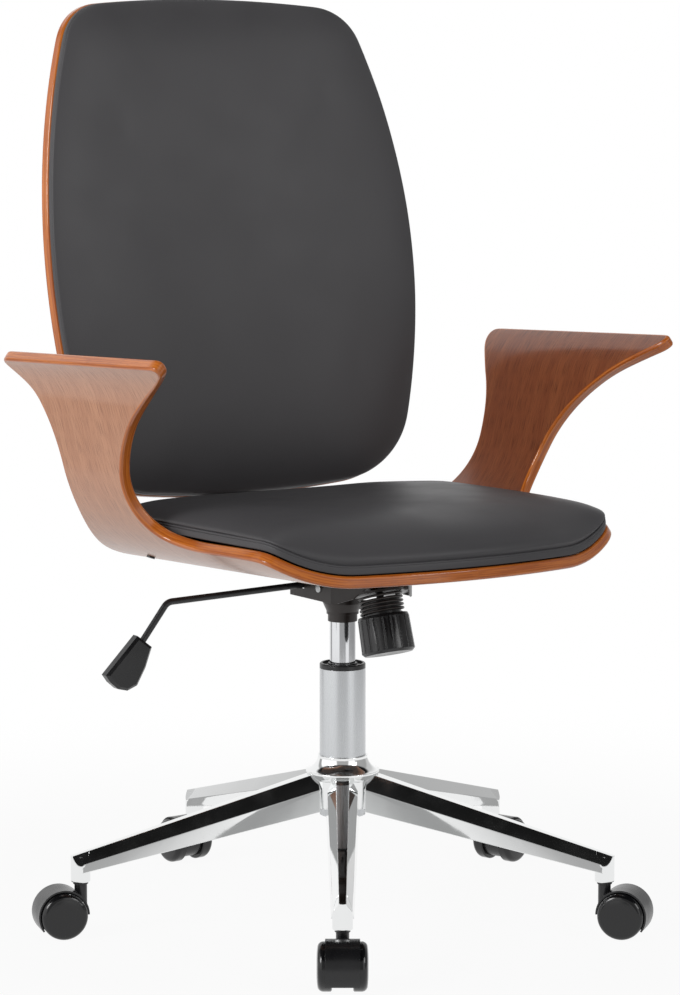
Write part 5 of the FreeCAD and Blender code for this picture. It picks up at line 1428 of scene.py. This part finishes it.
@dataclass
class Studio:
    """A white studio: a pale floor, soft lamps and the camera."""

    camera_reach: float = 3500.0 * MM
    camera_height: float = 884.7 * MM
    camera_side: tuple = (-0.5446, -0.8387)
    camera_pitch: float = 6.94
    image_height: float = 995.0
    focal_pixels: float = 3267.0
    sensor: float = 36.0
    axis_offset: float = 2.6
    floor_radius: float = 1.6
    walls: tuple = ((-180, 0.78), (-131, 0.78), (-125, 0.3), (-113, 0.32), (-107, 0.95), (-31, 1.0), (-25, 0.33),
                    (25, 0.33), (31, 1.0), (55, 1.0), (61, 0.33), (124, 0.3), (131, 0.45), (152, 0.5),
                    (168, 0.78), (180, 0.78))
    wall_power: float = 1.3
    floor_sink: float = 0.2 * MM
    floor_steps: int = 96

    def set_camera(self) -> None:
        """Stand the camera where the photograph was taken from."""
        data = bpy.data.cameras.new("camera")
        data.sensor_fit = "VERTICAL"
        data.sensor_height = self.sensor
        data.lens = self.focal_pixels / self.image_height * self.sensor
        data.shift_x = -self.axis_offset / self.image_height
        data.clip_end = 60
        camera = bpy.data.objects.new("camera", data)
        side = Vector(self.camera_side).normalized()
        camera.location = (side.x * self.camera_reach, side.y * self.camera_reach, self.camera_height)
        pitch = math.radians(self.camera_pitch)
        look = Vector((-side.x * math.cos(pitch), -side.y * math.cos(pitch), -math.sin(pitch)))
        camera.rotation_euler = look.to_track_quat("-Z", "Y").to_euler()
        bpy.context.scene.collection.objects.link(camera)
        bpy.context.scene.camera = camera

    def set_floor(self) -> None:
        """Lay the pale floor, which keeps the chair's soft shadow."""
        material = bpy.data.materials.new("studio_floor")
        material.use_nodes = True
        tree = material.node_tree
        tree.nodes.clear()
        path = add_node(tree, "ShaderNodeLightPath")
        seen = add_math(tree, "MAXIMUM", path.outputs["Is Camera Ray"], path.outputs["Is Glossy Ray"])
        shown = add_math(tree, "MAXIMUM", seen, path.outputs["Is Transmission Ray"])
        place = add_node(tree, "ShaderNodeTexCoord")
        far = add_node(tree, "ShaderNodeVectorMath", {"operation": "LENGTH"}, {0: place.outputs["Object"]})
        white_share = add_range(tree, far.outputs["Value"], (self.floor_radius * 0.25, self.floor_radius * 0.8),
                                (0.94, 1.0), smooth=True)
        share = add_math(tree, "MULTIPLY", shown, white_share)
        plain = add_node(tree, "ShaderNodeBsdfDiffuse", sockets={"Color": srgb("#aeaeae")})
        white = add_node(tree, "ShaderNodeEmission", sockets={"Color": (1, 1, 1, 1), "Strength": 1.0})
        mixed = add_node(tree, "ShaderNodeMixShader", sockets={
            0: share, 1: plain.outputs["BSDF"], 2: white.outputs["Emission"]})
        add_node(tree, "ShaderNodeOutputMaterial", sockets={"Surface": mixed.outputs["Shader"]})
        turns = [math.tau * step / self.floor_steps for step in range(self.floor_steps)]
        points = [Vector((math.cos(turn), math.sin(turn), 0)) * self.floor_radius for turn in turns]
        floor = mesh_object("studio_floor", points, [tuple(range(self.floor_steps))], [material])
        floor.location.z = -self.floor_sink

    def set_world(self) -> None:
        """Set the room's light: white walls with dark gaps between them, under a dark ceiling in reflections."""
        world = bpy.data.worlds.new("studio")
        world.use_nodes = True
        tree = world.node_tree
        tree.nodes.clear()
        path = add_node(tree, "ShaderNodeLightPath")
        place = add_node(tree, "ShaderNodeTexCoord")
        axes = add_node(tree, "ShaderNodeSeparateXYZ", sockets={0: place.outputs["Generated"]})
        fore = Vector(self.camera_side).normalized()
        ahead = add_node(tree, "ShaderNodeVectorMath", {"operation": "DOT_PRODUCT"}, {
            0: place.outputs["Generated"], 1: (fore.x, fore.y, 0.0)})
        beside = add_node(tree, "ShaderNodeVectorMath", {"operation": "DOT_PRODUCT"}, {
            0: place.outputs["Generated"], 1: (-fore.y, fore.x, 0.0)})
        turn = add_math(tree, "ARCTAN2", beside.outputs["Value"], ahead.outputs["Value"])
        turn_share = add_range(tree, turn, (-math.pi, math.pi))
        walls = add_node(tree, "ShaderNodeValToRGB", sockets={"Fac": turn_share})
        ramp = walls.color_ramp
        while len(ramp.elements) < len(self.walls):
            ramp.elements.new(0.5)
        for element, (degrees, level) in zip(ramp.elements, self.walls):
            element.position = (degrees + 180) / 360
            element.color = (level, level, level, 1.0)
        ceiling = add_range(tree, axes.outputs["Z"], (0.58, 0.68), (1.0, 0.02), smooth=True)
        room = add_math(tree, "MULTIPLY", walls.outputs["Color"], ceiling)
        mirrored = add_node(tree, "ShaderNodeBackground", sockets={
            "Color": (1, 1, 1, 1), "Strength": add_math(tree, "MULTIPLY", room, self.wall_power)})
        zenith = add_range(tree, axes.outputs["Z"], (0.0, 1.0), (0.9, 0.22))
        shade = add_range(tree, beside.outputs["Value"], (-1.0, 1.0), (1.15, 0.62))
        even = add_node(tree, "ShaderNodeBackground", sockets={
            "Color": (1, 1, 1, 1), "Strength": add_math(tree, "MULTIPLY", zenith, shade)})
        white = add_node(tree, "ShaderNodeBackground", sockets={"Color": (1, 1, 1, 1), "Strength": 1.0})
        shiny = add_math(tree, "MAXIMUM", path.outputs["Is Glossy Ray"], path.outputs["Is Transmission Ray"])
        lit = add_node(tree, "ShaderNodeMixShader", sockets={
            0: shiny, 1: even.outputs["Background"], 2: mirrored.outputs["Background"]})
        seen = add_node(tree, "ShaderNodeMixShader", sockets={
            0: path.outputs["Is Camera Ray"], 1: lit.outputs["Shader"], 2: white.outputs["Background"]})
        add_node(tree, "ShaderNodeOutputWorld", sockets={"Surface": seen.outputs["Shader"]})
        bpy.context.scene.world = world

    def add_lamp(self, name: str, spot: tuple[float, float, float], aim: tuple[float, float, float],
                 size: tuple[float, float], power: float) -> None:
        """Hang one soft lamp.

        Args:
            name: The lamp's name.
            spot: Where it hangs.
            aim: The point that it faces.
            size: Its width and height.
            power: Its power in watts.
        """
        data = bpy.data.lights.new(name, "AREA")
        data.shape = "RECTANGLE"
        data.size, data.size_y = size
        data.energy = power
        lamp = bpy.data.objects.new(name, data)
        lamp.location = spot
        lamp.rotation_euler = (Vector(aim) - Vector(spot)).to_track_quat("-Z", "Y").to_euler()
        bpy.context.scene.collection.objects.link(lamp)

    def build(self) -> None:
        """Set up camera, floor, room light and lamps."""
        self.set_camera()
        self.set_floor()
        self.set_world()
        self.add_lamp("key_softbox", (-4.0, 0.0, 2.5), (0, 0, 0.6), (1.6, 1.6), 85)
        self.add_lamp("fill_softbox", (1.6, -3.4, 2.2), (0, 0, 0.6), (1.4, 1.4), 26)
        self.add_lamp("top_softbox", (0.3, 0.6, 3.0), (0, 0, 0.5), (1.2, 1.2), 5)
        view = bpy.context.scene.view_settings
        view.view_transform = "Standard"


def main() -> None:
    """Load the frame, dress the chair and set up the studio."""
    logging.basicConfig(level=logging.INFO, format="%(name)s: %(message)s")
    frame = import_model()
    studio = Studio()
    studio.build()
    wardrobe = Wardrobe()
    Hardware().dress(frame, wardrobe)
    TensionCoil().dress(frame)
    SeatShell().dress(wardrobe)
    BackShell().dress(wardrobe)
    SeatCushion().dress(wardrobe)
    BackCushion().dress(wardrobe)


if __name__ == "__main__":
    main()
